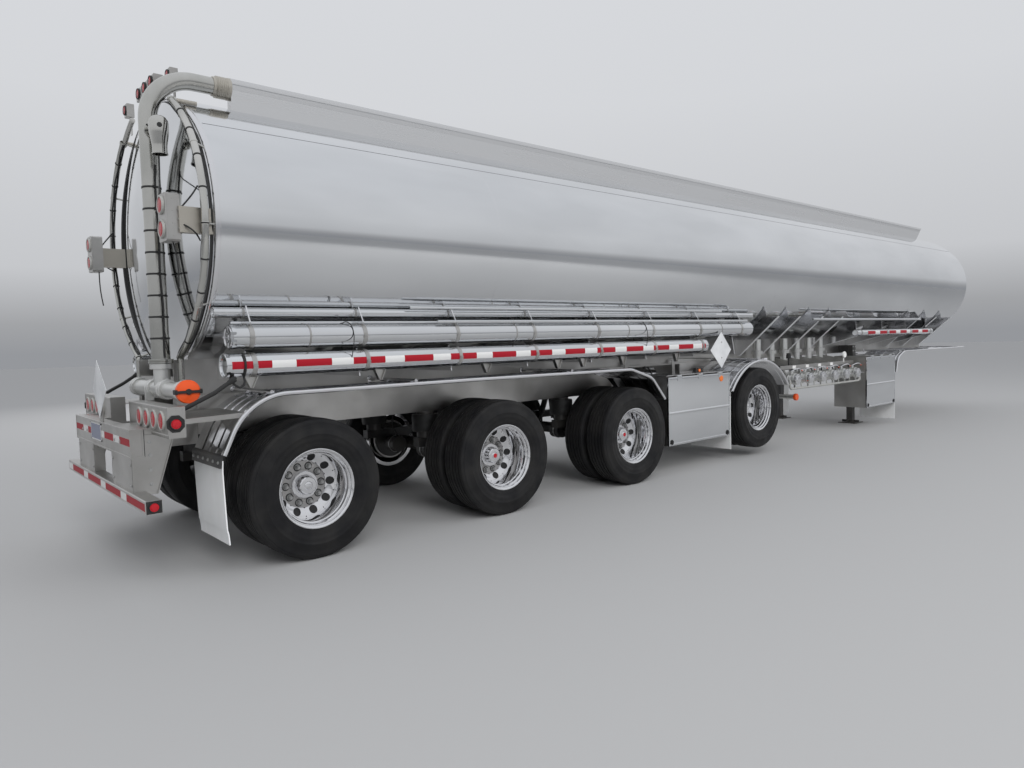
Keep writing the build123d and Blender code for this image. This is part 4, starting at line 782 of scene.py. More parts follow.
# %% Pipe helpers
def along(path, pitch):
    """Points evenly spaced along a path, with the directions there."""
    path = np.asarray(path, float)
    length = np.concatenate([[0], np.cumsum(np.linalg.norm(np.diff(path, axis=0), axis=1))])
    s = np.linspace(0, length[-1], max(2, int(round(length[-1] / pitch)) + 1))
    spots = np.stack([np.interp(s, length, path[:, k]) for k in range(3)], -1)
    return spots, np.gradient(spots, axis=0)


def band(spot, way, radius, width, wall):
    """A band round a pipe at a spot, such as a tie or clamp."""
    h = width / 2
    rows = [(-h, radius - 0.001), (-h, radius + wall * 0.7), (-h * 0.8, radius + wall),
            (h * 0.8, radius + wall), (h, radius + wall * 0.7), (h, radius - 0.001)]
    return outward(*spin(rows, spot, way, 24))


# %% Vapour pipe
PIPE_X, PIPE_Y, PIPE_R = -0.832, -0.53, 0.0635
PIPE_TOP, RAIL_END, FOOT = 3.562, -0.24, 1.477
BOOT = (-0.37, -0.24)
pipe_path = fillet([(PIPE_X, PIPE_Y, FOOT), (PIPE_X, PIPE_Y, PIPE_TOP), (RAIL_END, PIPE_Y, PIPE_TOP)], 0.33, 24)
pipe_parts = [tube(pipe_path, PIPE_R, 48)]
flange = [(0, 0.02), (0, 0.0835), (0.002, 0.0855), (0.014, 0.0855), (0.016, 0.0835), (0.018, 0.0855),
          (0.03, 0.0855), (0.032, 0.0835), (0.032, 0.02)]
pipe_parts.append(turned(flange, (PIPE_X, PIPE_Y, FOOT), UP, 48))
PIPE_FACE = PIPE_Y - PIPE_R
COWL_Y, COWL_Z = PIPE_FACE - 0.19, 3.14
arm = [(0.006, 0.0), (0.006, 0.05), (0.008, 0.052), (0.014, 0.052), (0.0155, 0.048), (0.017, 0.052),
       (0.023, 0.052), (0.025, 0.05), (0.026, 0.036), (0.034, 0.034), (0.15, 0.034), (0.15, 0.0)]
pipe_parts.append(turned(arm, (PIPE_X, PIPE_FACE, COWL_Z), RIGHT, 36))
hood = [(3.196, 0.0), (3.1955, 0.02), (3.191, 0.036), (3.18, 0.05), (3.163, 0.06), (3.145, 0.064),
        (3.09, 0.064), (3.075, 0.0625), (3.0, 0.0505), (2.985, 0.049), (2.944, 0.049), (2.94, 0.0525),
        (2.932, 0.0525), (2.9305, 0.05), (2.932, 0.0465), (2.98, 0.044), (3.07, 0.052), (3.1, 0.04),
        (3.1, 0.0)]
pipe_parts.append(turned(hood, (PIPE_X, COWL_Y, 0), UP, 48))
pipe = add_parts("vapour_line", pipe_parts, pipe_metal, angle=40)
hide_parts("vapour_pipe")

small_bolts = []
for k in range(6):
    a = math.pi / 3 * k + 0.3
    at = (PIPE_X + 0.043 * math.cos(a), PIPE_FACE - 0.002, COWL_Z + 0.043 * math.sin(a))
    small_bolts.append(turned(disc(0, 0.031, 0.006), at, RIGHT, 6))
# The thin black disc on the hood is painted shade: it stands for the dark inside of the hood's opening.
hole_shade_disc = disc(0.06, 0.0652, 0.017)
small_bolts.append(turned(hole_shade_disc, (PIPE_X, COWL_Y, 3.118), (-0.18, -1, 0), 28))
add_parts("cowl_bolts_and_hole_shade", small_bolts, black_rubber, angle=40)

boot = [(BOOT[0], 0.05), (BOOT[0], 0.069), (BOOT[0] + 0.004, 0.0715), (BOOT[0] + 0.02, 0.0715),
        (BOOT[0] + 0.023, 0.076)]
rib_x = np.linspace(BOOT[0] + 0.026, BOOT[1] - 0.022, 46)
boot += list(zip(rib_x, 0.079 + 0.0022 * np.cos((rib_x - rib_x[0]) * 2 * np.pi / 0.0137)))
boot += [(BOOT[1] - 0.018, 0.0825), (BOOT[1] - 0.003, 0.0825), (BOOT[1], 0.08), (BOOT[1], 0.05)]
add_mesh("pipe_coupling", *turned(boot, (0, PIPE_Y, PIPE_TOP), AHEAD, 56), tan_metal, angle=50)

# %% Drain pipes
def round_oval(t, x, inset):
    """A path round the oval at shares t, at the given station and inset."""
    yz, _ = oval(t, inset)
    return np.column_stack([np.broadcast_to(x, len(t)), yz])


DRAIN_X, DRAIN_R, DRAIN_OUT = -0.712, 0.0235, 0.017
DRAIN_TOP_Y, DRAIN_LOW_Y, DRAIN_LOW_Z = 0.69, 0.58, 1.33
t_half = np.linspace(0, 0.5, 3000)
half_yz, _ = oval(t_half, -DRAIN_OUT)
upper = half_yz[:, 1] > TANK_Z
t_top = np.interp(DRAIN_TOP_Y, half_yz[upper, 0], t_half[upper])
t_low = np.interp(-DRAIN_LOW_Y, -half_yz[~upper, 0], t_half[~upper])
arc = round_oval(np.linspace(t_top, t_low, 180), DRAIN_X, -DRAIN_OUT)
top_bend = fillet([arc[0] + [0.172, 0, 0], arc[0], arc[10]], 0.028, 10)
low_bend = fillet([arc[-10], arc[-1], (DRAIN_X, DRAIN_LOW_Y, DRAIN_LOW_Z)], 0.045, 10)
drain_path = np.concatenate([top_bend[1:-1], arc[10:-10], low_bend])
clips = []
spots, ways = along(arc, 0.55)
for spot, way in zip(spots, ways):
    inward = np.array([0, -way[2], way[1]]) / -np.linalg.norm(way)
    seat = spot + inward * 0.035 + [0.07, 0, 0]
    clips += [tube([spot, seat], 0.008, 10), band(spot, way, DRAIN_R, 0.02, 0.003)]
drains = mirrored([tube(drain_path, DRAIN_R, 24)] + clips)
t_box = np.interp(0.4, half_yz[upper, 0], t_half[upper])
drains.append(tube(round_oval(np.linspace(t_top + 0.004, t_box, 24), DRAIN_X + 0.012, -DRAIN_OUT), 0.0215, 24))
drain = add_parts("drain_pipes", drains, pipe_metal, angle=50)
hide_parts("drain_loop")

hose_line = np.linspace(arc[0] + [0.01, 0, 0], arc[0] + [0.172, 0, 0], 60)
hose_r = 0.0158 + 0.0012 * np.cos(np.arange(60) * 1.6)
add_parts("drain_hoses", mirrored([tube(hose_line, hose_r, 20)]), tan_metal, angle=60)

turn = np.linspace(t_top, t_low, 240)
sway = 0.003 * np.sin(turn * 150) + 0.002 * np.sin(turn * 61)
cables = [tube(np.column_stack([DRAIN_X - 0.008 + sway, oval(turn, 0.0135)[0]]), 0.0068, 8),
          tube(np.column_stack([DRAIN_X + 0.008 - sway, oval(turn, 0.015)[0]]), 0.005, 8)]
add_parts("side_cables", mirrored(cables), black_rubber, angle=60)

# %% Ties
ties = []
spots, ways = along(arc, 0.235)
for spot, way in zip(spots[1:-1], ways[1:-1]):
    inward = np.array([0, -way[2], way[1]]) / -np.linalg.norm(way)
    ties.append(band(spot, way, DRAIN_R, 0.011, 0.0035))
    ties.append(band(spot + inward * 0.0305, way, 0.0085, 0.011, 0.003))
ties = mirrored(ties)
for z in np.arange(1.66, 2.86, 0.155):
    ties.append(band((PIPE_X, PIPE_Y, z), UP, PIPE_R, 0.014, 0.0035))
    ties.append(blocks([(PIPE_X - 0.01, PIPE_FACE - 0.016, z - 0.009, PIPE_X + 0.01,
                         PIPE_FACE + 0.002, z + 0.009)]))
add_parts("cable_ties", ties, black_rubber, angle=40)
wires = fillet([(PIPE_X + 0.045, PIPE_FACE - 0.018, 3.12), (PIPE_X + 0.035, PIPE_FACE - 0.03, 2.85),
                (-0.93, -1.06, 2.6)], 0.1, 8)
lead_z = np.linspace(1.52, 2.9, 120)
lead = np.column_stack([PIPE_X + 0.012 + 0.004 * np.sin(lead_z * 11), np.full(120, PIPE_FACE - 0.007),
                        lead_z])
add_parts("pipe_cables", [tube(lead, 0.006, 8), tube(wires, 0.0045, 8)], black_rubber, angle=60)

# %% Tee and cap
TEE_Z, TEE_R, TEE_ENDS = 1.29, 0.057, (-1.13, 0.14)
tee_parts = [tube(np.linspace((PIPE_X, TEE_ENDS[0] + 0.03, TEE_Z), (PIPE_X, TEE_ENDS[1], TEE_Z), 8), TEE_R, 40),
             tube(np.linspace((PIPE_X, PIPE_Y, TEE_Z), (PIPE_X, PIPE_Y, FOOT - 0.02), 4), TEE_R, 40)]
tee_parts.append(turned([(-0.04, 0.03), (-0.04, 0.076), (-0.037, 0.0795), (-0.003, 0.0795), (0, 0.076),
                         (0, 0.03)], (PIPE_X, PIPE_Y, FOOT), UP))
saddle = [(-0.085, TEE_R), (-0.082, 0.0625), (0.082, 0.0625), (0.085, TEE_R)]
tee_parts.append(turned(saddle, (PIPE_X, PIPE_Y, TEE_Z), LEFT))
COUPLING = [(0, 0.055), (0, 0.069), (0.003, 0.072), (0.028, 0.072), (0.031, 0.0655), (0.061, 0.0655),
            (0.064, 0.072), (0.089, 0.072), (0.092, 0.069), (0.092, 0.055)]
for start in (-1.09, PIPE_Y - 0.152, PIPE_Y + 0.15, TEE_ENDS[1] - 0.092):
    tee_parts.append(turned(COUPLING, (PIPE_X, start, TEE_Z), LEFT))
    tee_parts.append(blocks([(PIPE_X - 0.01, start + 0.033, TEE_Z + 0.06, PIPE_X + 0.01, start + 0.059,
                              TEE_Z + 0.08)]))
tee_parts.append(blocks([(-0.92, -0.42, 1.204, -0.864, -0.38, TEE_Z - 0.02)]))
tee = add_parts("tee_run", tee_parts, pale_cast)
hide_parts("vapour_tee")
cup = [(0, 0.0), (0, 0.06), (0.003, 0.066), (0.003, 0.0745), (0.007, 0.0795), (0.034, 0.0795), (0.038, 0.076),
       (0.038, 0.0)]
add_mesh("tee_cap", *turned(cup, (PIPE_X, TEE_ENDS[0], TEE_Z), LEFT), orange_cap)
knob = [(-0.016, 0.0), (-0.016, 0.016), (-0.012, 0.02), (0.002, 0.02), (0.002, 0.0)]
end = TEE_ENDS[0]
cams = [turned(knob, (PIPE_X, end, TEE_Z), LEFT, 20),
        blocks([(PIPE_X - 0.088, end - 0.014, TEE_Z - 0.009, PIPE_X + 0.088, end, TEE_Z + 0.009)]),
        blocks([(PIPE_X + x0, end - 0.01, TEE_Z - 0.016, PIPE_X + x1, end + 0.045, TEE_Z + 0.016)
                for x0, x1 in ((-0.088, -0.072), (0.072, 0.088))])]
bevel(add_parts("cap_bar", cams, black_rubber), 0.002)

# %% [markdown]
# ## Lamps and their housings
# The tail lamps sit in rubber-rimmed holes of two folded panels. Two upright boxes on the head, three
# small lamps on the roof and two clearance boxes complete the rear. A lens is a low dome with a raised
# ring; each rim is a separate turned ring. Housings are folded sheet with soft edges.

# %% Housings
tail_boxes, tail_rivets = [], []
front_x, back_x, panel_low, panel_high = -1.01, -0.9, 1.0, 1.204
whole_panel = [(front_x + 0.002, panel_low), (front_x, panel_low + 0.004), (front_x, panel_low + 0.02),
               (front_x + 0.003, panel_low + 0.024), (front_x + 0.003, panel_high - 0.02),
               (front_x, panel_high - 0.016), (front_x, panel_high - 0.004), (front_x + 0.004, panel_high),
               (back_x, panel_high), (back_x, panel_low)]
tail_boxes.append(prism(whole_panel, "xz", 0.3, 1.262))
end_rim = rectangle(front_x, back_x, panel_low + 0.002, panel_high - 0.002)
tail_boxes.append(prism(end_rim, "xz", 1.258, 1.2635))
tail_boxes.append(prism(end_rim, "xz", 0.2985, 0.304))
tail_boxes.append(blocks([(-1.068, 0.3, 1.002, -1.006, 0.872, 1.042)]))
for z in (panel_low + 0.011, panel_high - 0.01):
    tail_rivets += rivets(spaced((front_x, 0.33, z), (front_x, 1.235, z), 12), AFT, 0.0045)
tail_rivets += rivets(spaced((front_x + 0.02, 1.2635, 1.185), (back_x - 0.02, 1.2635, 1.185), 3), LEFT, 0.0045)
SIDE_X, SIDE_Y, SIDE_Z = (-0.935, -0.845), (1.025, 1.19), (2.285, 2.595)
side_box = [(SIDE_Y[0], SIDE_Z[0] + 0.01), (SIDE_Y[0] + 0.01, SIDE_Z[0]), (SIDE_Y[1] - 0.01, SIDE_Z[0]),
            (SIDE_Y[1], SIDE_Z[0] + 0.01), (SIDE_Y[1], SIDE_Z[1] - 0.01), (SIDE_Y[1] - 0.01, SIDE_Z[1]),
            (SIDE_Y[0] + 0.01, SIDE_Z[1]), (SIDE_Y[0], SIDE_Z[1] - 0.01)]
tail_boxes.append(prism(side_box, "yz", SIDE_X[0] + 0.002, SIDE_X[1]))
lip = np.asarray(side_box)
middle = lip.mean(0)
tail_boxes.append(prism(middle + (lip - middle) * [1.02, 1.01], "yz", SIDE_X[0] + 0.012, SIDE_X[0] + 0.018))
tail_rivets += rivets(spaced((SIDE_X[0] + 0.002, 1.04, 2.44), (SIDE_X[0] + 0.002, 1.175, 2.44), 2), AFT, 0.0045)
tail_rivets += rivets(spaced((SIDE_X[0] + 0.045, 1.19, 2.32), (SIDE_X[0] + 0.045, 1.19, 2.56), 4), LEFT, 0.004)
strap = prism([(1.16, 2.34), (1.212, 2.34), (1.212, 2.51), (1.16, 2.51)], "yz", SIDE_X[1] - 0.012, -0.635)
tail_rivets += bolts([(SIDE_X[1] - 0.012, 1.2, z) for z in (2.365, 2.425, 2.485)], AFT, 0.006, 0.005)
top_box = [(3.58, 0.004), (3.584, 0.0), (3.668, 0.0), (3.672, 0.004), (3.672, 0.07), (3.58, 0.07)]
top_points = [(-0.7 + b, a) for a, b in top_box]
lamp_bar = prism(top_points, "xz", -0.244, 0.244)
feet = [(-0.64, y - 0.03, 3.48, -0.634, y + 0.03, 3.6) for y in (-0.19, 0.19)]
clear_box = []
for x, low, y0, y1, foot in ((-0.69, 3.565, 0.603, 0.687, 3.42), (-0.64, 3.585, -0.357, -0.443, 3.46)):
    side_view = [(x, low + 0.004), (x + 0.004, low), (x + 0.06, low), (x + 0.06, 3.673), (x + 0.004, 3.673),
                 (x, 3.669)]
    clear_box.append(prism(side_view, "xz", y0, y1))
    y = (y0 + y1) / 2
    clear_box.append(blocks([(x + 0.038, y - 0.02, foot, x + 0.044, y + 0.02, low + 0.02)]))
housing = add_parts("lamp_housings", mirrored(tail_boxes + tail_rivets) + clear_box + [lamp_bar, blocks(feet)],
                    satin, angle=30)
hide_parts("lamp_boxes")
add_parts("lamp_straps", mirrored([strap]), tan_metal, angle=30)

# %% Lenses and rims
def round_lamp(centre, axis, radius, proud):
    """A lens and its rim: two turned pieces, the lens domed by the given height."""
    r = radius
    dome = [(-0.002, 0.0), (-0.002, r * 0.86), (proud * 0.5, r * 0.86), (proud * 0.72, r * 0.82),
            (proud * 0.7, r * 0.66), (proud * 0.86, r * 0.62), (proud * 0.97, r * 0.36), (proud, 0.0)]
    edge = [(-0.002, r * 0.84), (-0.002, r * 1.06), (proud * 0.35, r * 1.06), (proud * 0.85, r * 1.02),
            (proud * 0.98, r * 0.96), (proud * 0.92, r * 0.88), (proud * 0.55, r * 0.84)]
    return turned(dome, centre, axis), turned(edge, centre, axis)


def fit_lamps(spots, rims, axis, radius, proud=0.0128):
    """A lamp at each spot: its lens goes with the lenses, its rim with the given rims."""
    for spot in spots:
        lens, edge = round_lamp(spot, axis, radius, proud)
        lenses.append(lens)
        rims.append(edge)


lenses, pale_rims, dark_rims = [], [], []
marker_x, marker_z = -0.963, 1.094
fit_lamps([(front_x + 0.001, y, 1.11) for y in (0.592, 0.772, 0.952, 1.132)], pale_rims, AFT, 0.063)
fit_lamps([(SIDE_X[0] + 0.002, 1.1075, z) for z in (2.366, 2.521)], pale_rims, AFT, 0.0585, 0.016)
fit_lamps([(marker_x, 1.266, marker_z)], dark_rims, LEFT, 0.038, 0.018)
fit_lamps([(-1.118, 1.2625, 0.574)], dark_rims, LEFT, 0.033, 0.011)
turn = np.radians(np.arange(8) * 45 + 22.5)
octagon = np.stack([marker_x + 0.06 * np.cos(turn), marker_z + 0.06 * np.sin(turn)], -1)
dark_rims.append(prism(octagon, "xz", 1.2625, 1.269))
lenses, pale_rims, dark_rims = mirrored(lenses), mirrored(pale_rims), mirrored(dark_rims)
fit_lamps([(-0.7, y, 3.628) for y in (-0.174, 0.0, 0.174)], dark_rims, AFT, 0.041)
fit_lamps([(-0.69, 0.645, 3.62)], dark_rims, AFT, 0.039)
fit_lamps([(-0.64, -0.4, 3.625)], dark_rims, AFT, 0.036)
lamps_mesh = add_parts("lamp_lenses", lenses, red_lens)
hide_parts("lamps")
add_parts("pale_lamp_rims", pale_rims, pale_trim)
add_parts("dark_lamp_rims", dark_rims, black_rubber)

# %% Wires of the side boxes
wires = []
for z0, z1, out in ((2.4, 2.3, 0.06), (2.5, 2.66, 0.045)):
    s = np.linspace(0, 1, 24)
    reach = np.sin(s * np.pi)
    wires.append(tube(np.column_stack([-0.84 + 0.12 * s, 1.195 + out * reach * 0.9 - 0.02 * s,
                                       z0 + (z1 - z0) * s]), 0.0055, 8))
s = np.linspace(0, 1, 30)
wires.append(tube(np.column_stack([-0.87 + 0.02 * s, 1.1 + 0.04 * np.sin(s * 3), 2.29 - 0.3 * s]), 0.005, 8))
add_parts("lamp_wires", mirrored(wires), black_rubber, angle=60)
print("lamps done")

# %% [markdown]
# ## Fenders and flaps
# A fender is one rolled sheet: a section with four low creases and a tube along its outer edge,
# carried along a path of straight runs and bends. The long fender is made of three lengths, with a
# lapped joint strip and a row of rivets where two meet.

# %% Fenders
FENDER_IN, FENDER_OUT, BEAD_TUBE = 0.66, 1.278, 0.017
SHEET = 0.004
CREASES = (0.83, 0.97, 1.11, 1.225)
RIDGE = (0.011, 0.0055)


def crease_section(lift=0.0):
    """A sheet's section of (across, up) points with rounded ridges at the creases."""
    half, rise = RIDGE
    y = [FENDER_IN]
    up = [0.0]
    for c in CREASES:
        y += [c - half, c - half * 0.5, c, c + half * 0.5, c + half]
        up += [0.0, rise * 0.7, rise, rise * 0.7, 0.0]
    y.append(FENDER_OUT)
    up.append(0.0)
    line = np.stack([y, np.array(up) + lift], -1)
    return np.concatenate([line + [0, SHEET / 2], (line - [0, SHEET / 2])[::-1]])


def fender_parts(path):
    """The sheet and its edge tube along a path of (x, z) points, on the left."""
    path = np.asarray(path, float)
    spine = np.column_stack([path[:, 0], np.zeros(len(path)), path[:, 1]])
    sheet = carried(crease_section(), spine)
    turn = turn_of(18)
    circle = np.stack([FENDER_OUT + BEAD_TUBE * np.cos(turn), BEAD_TUBE * np.sin(turn)], -1)
    inner = np.array([(FENDER_IN, -0.03), (FENDER_IN + 0.003, -0.03), (FENDER_IN + 0.003, 0.0),
                      (FENDER_IN, 0.0)])
    return [sheet, carried(circle, spine), carried(inner, spine)]


def stays(places):
    """Round stays from the frame's web out over the sheet, as (x, z) places."""
    parts = []
    for x, z in places:
        start = 0.486 if z - 0.016 > 1.229 else 0.535
        parts.append(tube([(x, start, z), (x, 0.9, z), (x, 1.235, z)], 0.016, 18))
        parts.append(turned([(0, 0.0), (0, 0.03), (0.006, 0.03), (0.008, 0.022), (0.008, 0.0)], (x, start, z),
                            LEFT, 20))
        for y in (0.78, 1.15):
            parts.append(prism([(x - 0.034, z - 0.018), (x + 0.034, z - 0.018), (x + 0.024, z), (x - 0.024, z)],
                               "xz", y, y + 0.04))
    return parts


corners = [(-0.668, 0.85), (-0.485, 1.244), (1.5, 1.246), (3.6, 1.236), (3.95, 1.13), (4.17, 0.885)]
rear_bend, front_bend = fillet(corners[:3], 0.45, 26), fillet(corners[2:], 0.23, 20)
tridem_path = np.concatenate([rear_bend[:-1], front_bend])
long_parts = fender_parts(tridem_path)
joint_rivets = []
for x in (-0.1, 3.777):
    near = [corners[1], corners[2]] if x < 0 else [corners[3], corners[4]]
    a, b = np.array(near[0]), np.array(near[1])
    at = a + (b - a) * (x - a[0]) / (b[0] - a[0])
    way = (b - a) / np.linalg.norm(b - a)
    ends = np.array([at - way * 0.03, at + way * 0.03])
    strip = crease_section(0.003)
    spine = np.column_stack([ends[:, 0], [0, 0], ends[:, 1]])
    long_parts.append(carried(strip, spine))
    up = np.array([-way[1], 0, way[0]])
    for end in (at - way * 0.018, at + way * 0.018):
        base = np.array([end[0], 0, end[1]]) + up * 0.005
        spots = [base + [0, y, 0] for y in (0.69, 0.76, 0.9, 1.04, 1.165, 1.25)]
        joint_rivets += rivets(spots, up, 0.0055, 0.0025)
long_parts += stays([(x, np.interp(x, tridem_path[:, 0], tridem_path[:, 1]) + 0.0225)
                     for x in (-0.3, 0.915, 2.745, 3.85)])
fender = add_parts("long_fenders", mirrored(long_parts + joint_rivets), bright, angle=30)
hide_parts("tridem_fenders")

LIFT_MID = 6.22
half_span, rise = 0.69, 1.232 - 0.875
radius = (half_span ** 2 + rise ** 2) / (2 * rise)
reach = math.asin(half_span / radius)
turn = np.linspace(-reach, reach, 61)
arch = np.stack([LIFT_MID + radius * np.sin(turn), 1.232 - radius + radius * np.cos(turn)], -1)
single = fender_parts(arch) + stays(((LIFT_MID, 1.244),))
front_path = fillet([(10.592, 0.87), (10.65, 1.12), (10.93, 1.214), (13.9, 1.214)], 0.23, 20)
single += fender_parts(front_path) + stays(((11.05, 1.228), (12.15, 1.228), (13.7, 1.228)))
fender = add_parts("arched_fenders", mirrored(single), bright, angle=30)
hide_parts("single_fenders")

# %% Flaps
def flap_sheet(line):
    """A flap: an (x, z) line with a thickness, pushed across between its two side edges."""
    return prism(thick(line, 0.008), "xz", 0.665, 1.25)


FLAP_PLACES = ((LIFT_MID - half_span, 0.872, 0.15), (10.592, 0.867, 0.075))
z = np.linspace(0.0, 1.0, 14)
flaps = []
for x, top, low in FLAP_PLACES:
    bow = 0.006 * np.sin(z * 3.3)
    flaps.append(flap_sheet(np.stack([x + 0.004 - bow, top + (low - top) * z], -1)))
rear_line = np.array([(-0.676, 0.812), (-0.68, 0.74), (-0.678, 0.64), (-0.672, 0.44), (-0.668, 0.33),
                      (-0.665, 0.318), (-0.661, 0.305), (-0.655, 0.228)])
flaps.append(flap_sheet(rear_line))
flap = add_parts("flaps", mirrored(flaps), flap_white, angle=25)
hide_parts("mud_flaps")

strips, strip_bolts = [], []
strip_line = [(-0.696, 0.762), (-0.686, 0.84), (-0.67, 0.852), (-0.664, 0.852), (-0.676, 0.838),
              (-0.686, 0.762)]
strips.append(prism(strip_line, "xz", 0.66, 1.256))
strip_bolts += bolts(spaced((-0.6915, 0.7, 0.798), (-0.6915, 1.215, 0.798), 6), AFT, 0.009, 0.007)
for x, top, _ in FLAP_PLACES:
    strips.append(blocks([(x - 0.011, 0.66, top - 0.055, x - 0.0045, 1.256, top + 0.004)]))
    strip_bolts += bolts(spaced((x - 0.011, 0.7, top - 0.028), (x - 0.011, 1.215, top - 0.028), 6), AFT, 0.008,
                         0.006)
add_parts("flap_strips", mirrored(strips), black_steel, angle=30)
add_parts("flap_bolts", mirrored(strip_bolts), cast, angle=30)
print("fenders done")

# %% [markdown]
# ## Side tubes
# Each flank carries two large tubes for hoses, a small one above them and a few conduits. They are
# turned about their own lines, with rolled ends. Clamps, wire loops, gussets and striped tape are
# separate pieces that follow the same lines.

# %% Tubes
HOSE = (1.135, 1.65, 0.087, -0.55, 6.13)
TAPED = (1.165, 1.455, 0.084, -0.61, 5.08)
FRONT = (1.165, 1.555, 0.05, 9.25, 12.45)
TOP = (1.052, 1.826, 0.038, -0.625, 6.35)
THIN = ((1.088, 1.75, 0.014, -0.52, 6.2), (1.12, 1.872, 0.015, 0.95, 5.55),
        (1.19, 1.752, 0.015, 1.18, 6.02), (1.12, 1.772, 0.02, 7.95, 12.08))
BRACKETS = (-0.42, 0.47, 1.37, 2.27, 3.17, 4.07, 4.97, 5.87)


def closed_tube(spec, sides):
    """A tube with rounded ends; a wide one has a rolled rim round a sunken end plate."""
    y, z, r, x0, x1 = spec
    if r < 0.03:
        rows = [(x0, 0), (x0, r * 0.75), (x0 + r * 0.25, r), (x1 - r * 0.25, r), (x1, r * 0.75), (x1, 0)]
    else:
        rows = [(x0 + 0.012, 0), (x0 + 0.012, r - 0.014), (x0 + 0.002, r - 0.011), (x0, r - 0.006),
                (x0, r - 0.002), (x0 + 0.003, r + 0.0005), (x0 + 0.022, r + 0.0005), (x0 + 0.025, r)]
        rows += [(x, r) for x in np.linspace(x0 + 0.1, x1 - 0.1, 12)]
        rows += [(x1 - 0.025, r), (x1 - 0.022, r + 0.0005), (x1 - 0.003, r + 0.0005), (x1, r - 0.002),
                 (x1, r - 0.006), (x1 - 0.002, r - 0.011), (x1 - 0.012, r - 0.014), (x1 - 0.012, 0)]
    return turned(rows, (0, y, z), AHEAD, sides)


small = [closed_tube(TAPED, 72), closed_tube(FRONT, 48), closed_tube(TOP, 40)]
small += [closed_tube(spec, 20) for spec in THIN]
tubes_mesh = add_parts("tube_bank", mirrored(small), polished)
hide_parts("side_tubes")
y, z, r, x0, x1 = FRONT
end = turned(disc(x0 + 0.004, x0 + 0.014, r - 0.012), (0, y, z), AHEAD)
add_parts("front_tube_end", mirrored([end]), bare_plate)

y, z, r, x0, x1 = HOSE
rows = [(x1 - 0.008, 0.0), (x1 - 0.008, r - 0.005), (x0, r - 0.005), (x0, r), (x0 + 0.002, r + 0.001),
        (x0 + 0.03, r + 0.001), (x0 + 0.033, r)]
rows += [(x, r) for x in np.linspace(x0 + 0.2, x1 - 0.2, 12)]
rows += [(x1 - 0.03, r), (x1 - 0.028, r + 0.001), (x1 - 0.003, r + 0.001), (x1, r - 0.003), (x1, r - 0.012),
         (x1 - 0.003, r - 0.018), (x1 - 0.003, 0.0)]
hose_parts = [turned(rows, (0, y, z), AHEAD, 72)]
hinge_x, hinge_y = x0 - 0.0125, y + r + 0.014
hose_parts.append(turned(disc(-0.034, 0.034, 0.006), (hinge_x, hinge_y, z), UP, 16))
for low in (z - 0.034, z + 0.018):
    ear = [(hinge_x - 0.008, hinge_y - 0.004), (hinge_x - 0.005, hinge_y + 0.007),
           (hinge_x + 0.004, hinge_y + 0.008), (x0 + 0.02, hinge_y - 0.001), (x0 + 0.02, y + r - 0.004),
           (x0 + 0.001, y + r - 0.004)]
    hose_parts.append(prism(ear, "xy", low, low + 0.016))
hose = add_parts("hose_carriers", mirrored(hose_parts), polished)
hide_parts("hose_tubes")

# %% Lids of the hose tubes
lid_rows = [(-0.5503, 0.0), (-0.5503, 0.08), (-0.552, 0.0805), (-0.5585, 0.0805), (-0.5605, 0.078),
            (-0.5603, 0.066), (-0.5575, 0.062), (-0.557, 0.02), (-0.559, 0.016), (-0.559, 0.0)]
for side, sign in SIDES.items():
    lid = [turned(lid_rows, (0, sign * y, z), AHEAD, 56),
           blocks([(-0.5595, sign * (y + 0.055), z - 0.014, -0.5505, sign * hinge_y, z + 0.014)]),
           turned(rectangle(-0.0155, 0.0155, 0.0062, 0.0115),
                  (hinge_x, sign * hinge_y, z), UP, 18),
           turned([(0, 0), (0, 0.007), (0.012, 0.007), (0.014, 0.005), (0.014, 0)],
                  (-0.559, sign * (y - 0.055), z), AFT, 16)]
    piece = add_parts(f"hose_lid_{side}_disc", lid, bright, f"hose_lid_{side}")
    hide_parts(f"tube_lid_{side}")

# %% Clamps, loops and gussets
def half_band(spec, x, width, wall, start, end, extra=0.0005):
    """Part of a band round a tube, between two angles from straight outboard towards up."""
    y0, z0, r0 = spec[:3]
    turn = np.radians(np.linspace(start, end, max(6, int(abs(end - start) / 7))))
    outer = np.stack([y0 + (r0 + extra + wall) * np.cos(turn), z0 + (r0 + extra + wall) * np.sin(turn)], -1)
    inner = np.stack([y0 + (r0 + extra) * np.cos(turn), z0 + (r0 + extra) * np.sin(turn)], -1)[::-1]
    return prism(np.concatenate([outer, inner]), "yz", x - width / 2, x + width / 2)


clamps, loops, gussets, clamp_bolts = [], [], [], []
for x in BRACKETS:
    for spec in (HOSE, TAPED):
        if x < spec[4] and x > spec[3]:
            clamps.append(half_band(spec, x + 0.005, 0.034, 0.0028, -118, 118))
            clamps.append(blocks([(x - 0.012, spec[0] + spec[2] + 0.001, spec[1] - 0.02, x + 0.022,
                                   spec[0] + spec[2] + 0.011, spec[1] - 0.014),
                                  (x - 0.012, spec[0] + spec[2] + 0.001, spec[1] - 0.008, x + 0.022,
                                   spec[0] + spec[2] + 0.011, spec[1] - 0.002)]))
            clamp_bolts += bolts([(x + 0.005, spec[0] + spec[2] + 0.007, spec[1] - 0.003)], UP, 0.005, 0.005)
    clamps.append(half_band(TOP, x + 0.005, 0.026, 0.0025, -125, 125))
for x in (9.405, 10.405, 11.405, 12.355):
    clamps.append(half_band(FRONT, x, 0.03, 0.0028, -118, 118))
for x in (0.02, 2.05, 3.65, 5.42):
    clamps.append(half_band(HOSE, x, 0.014, 0.002, -179, 179))
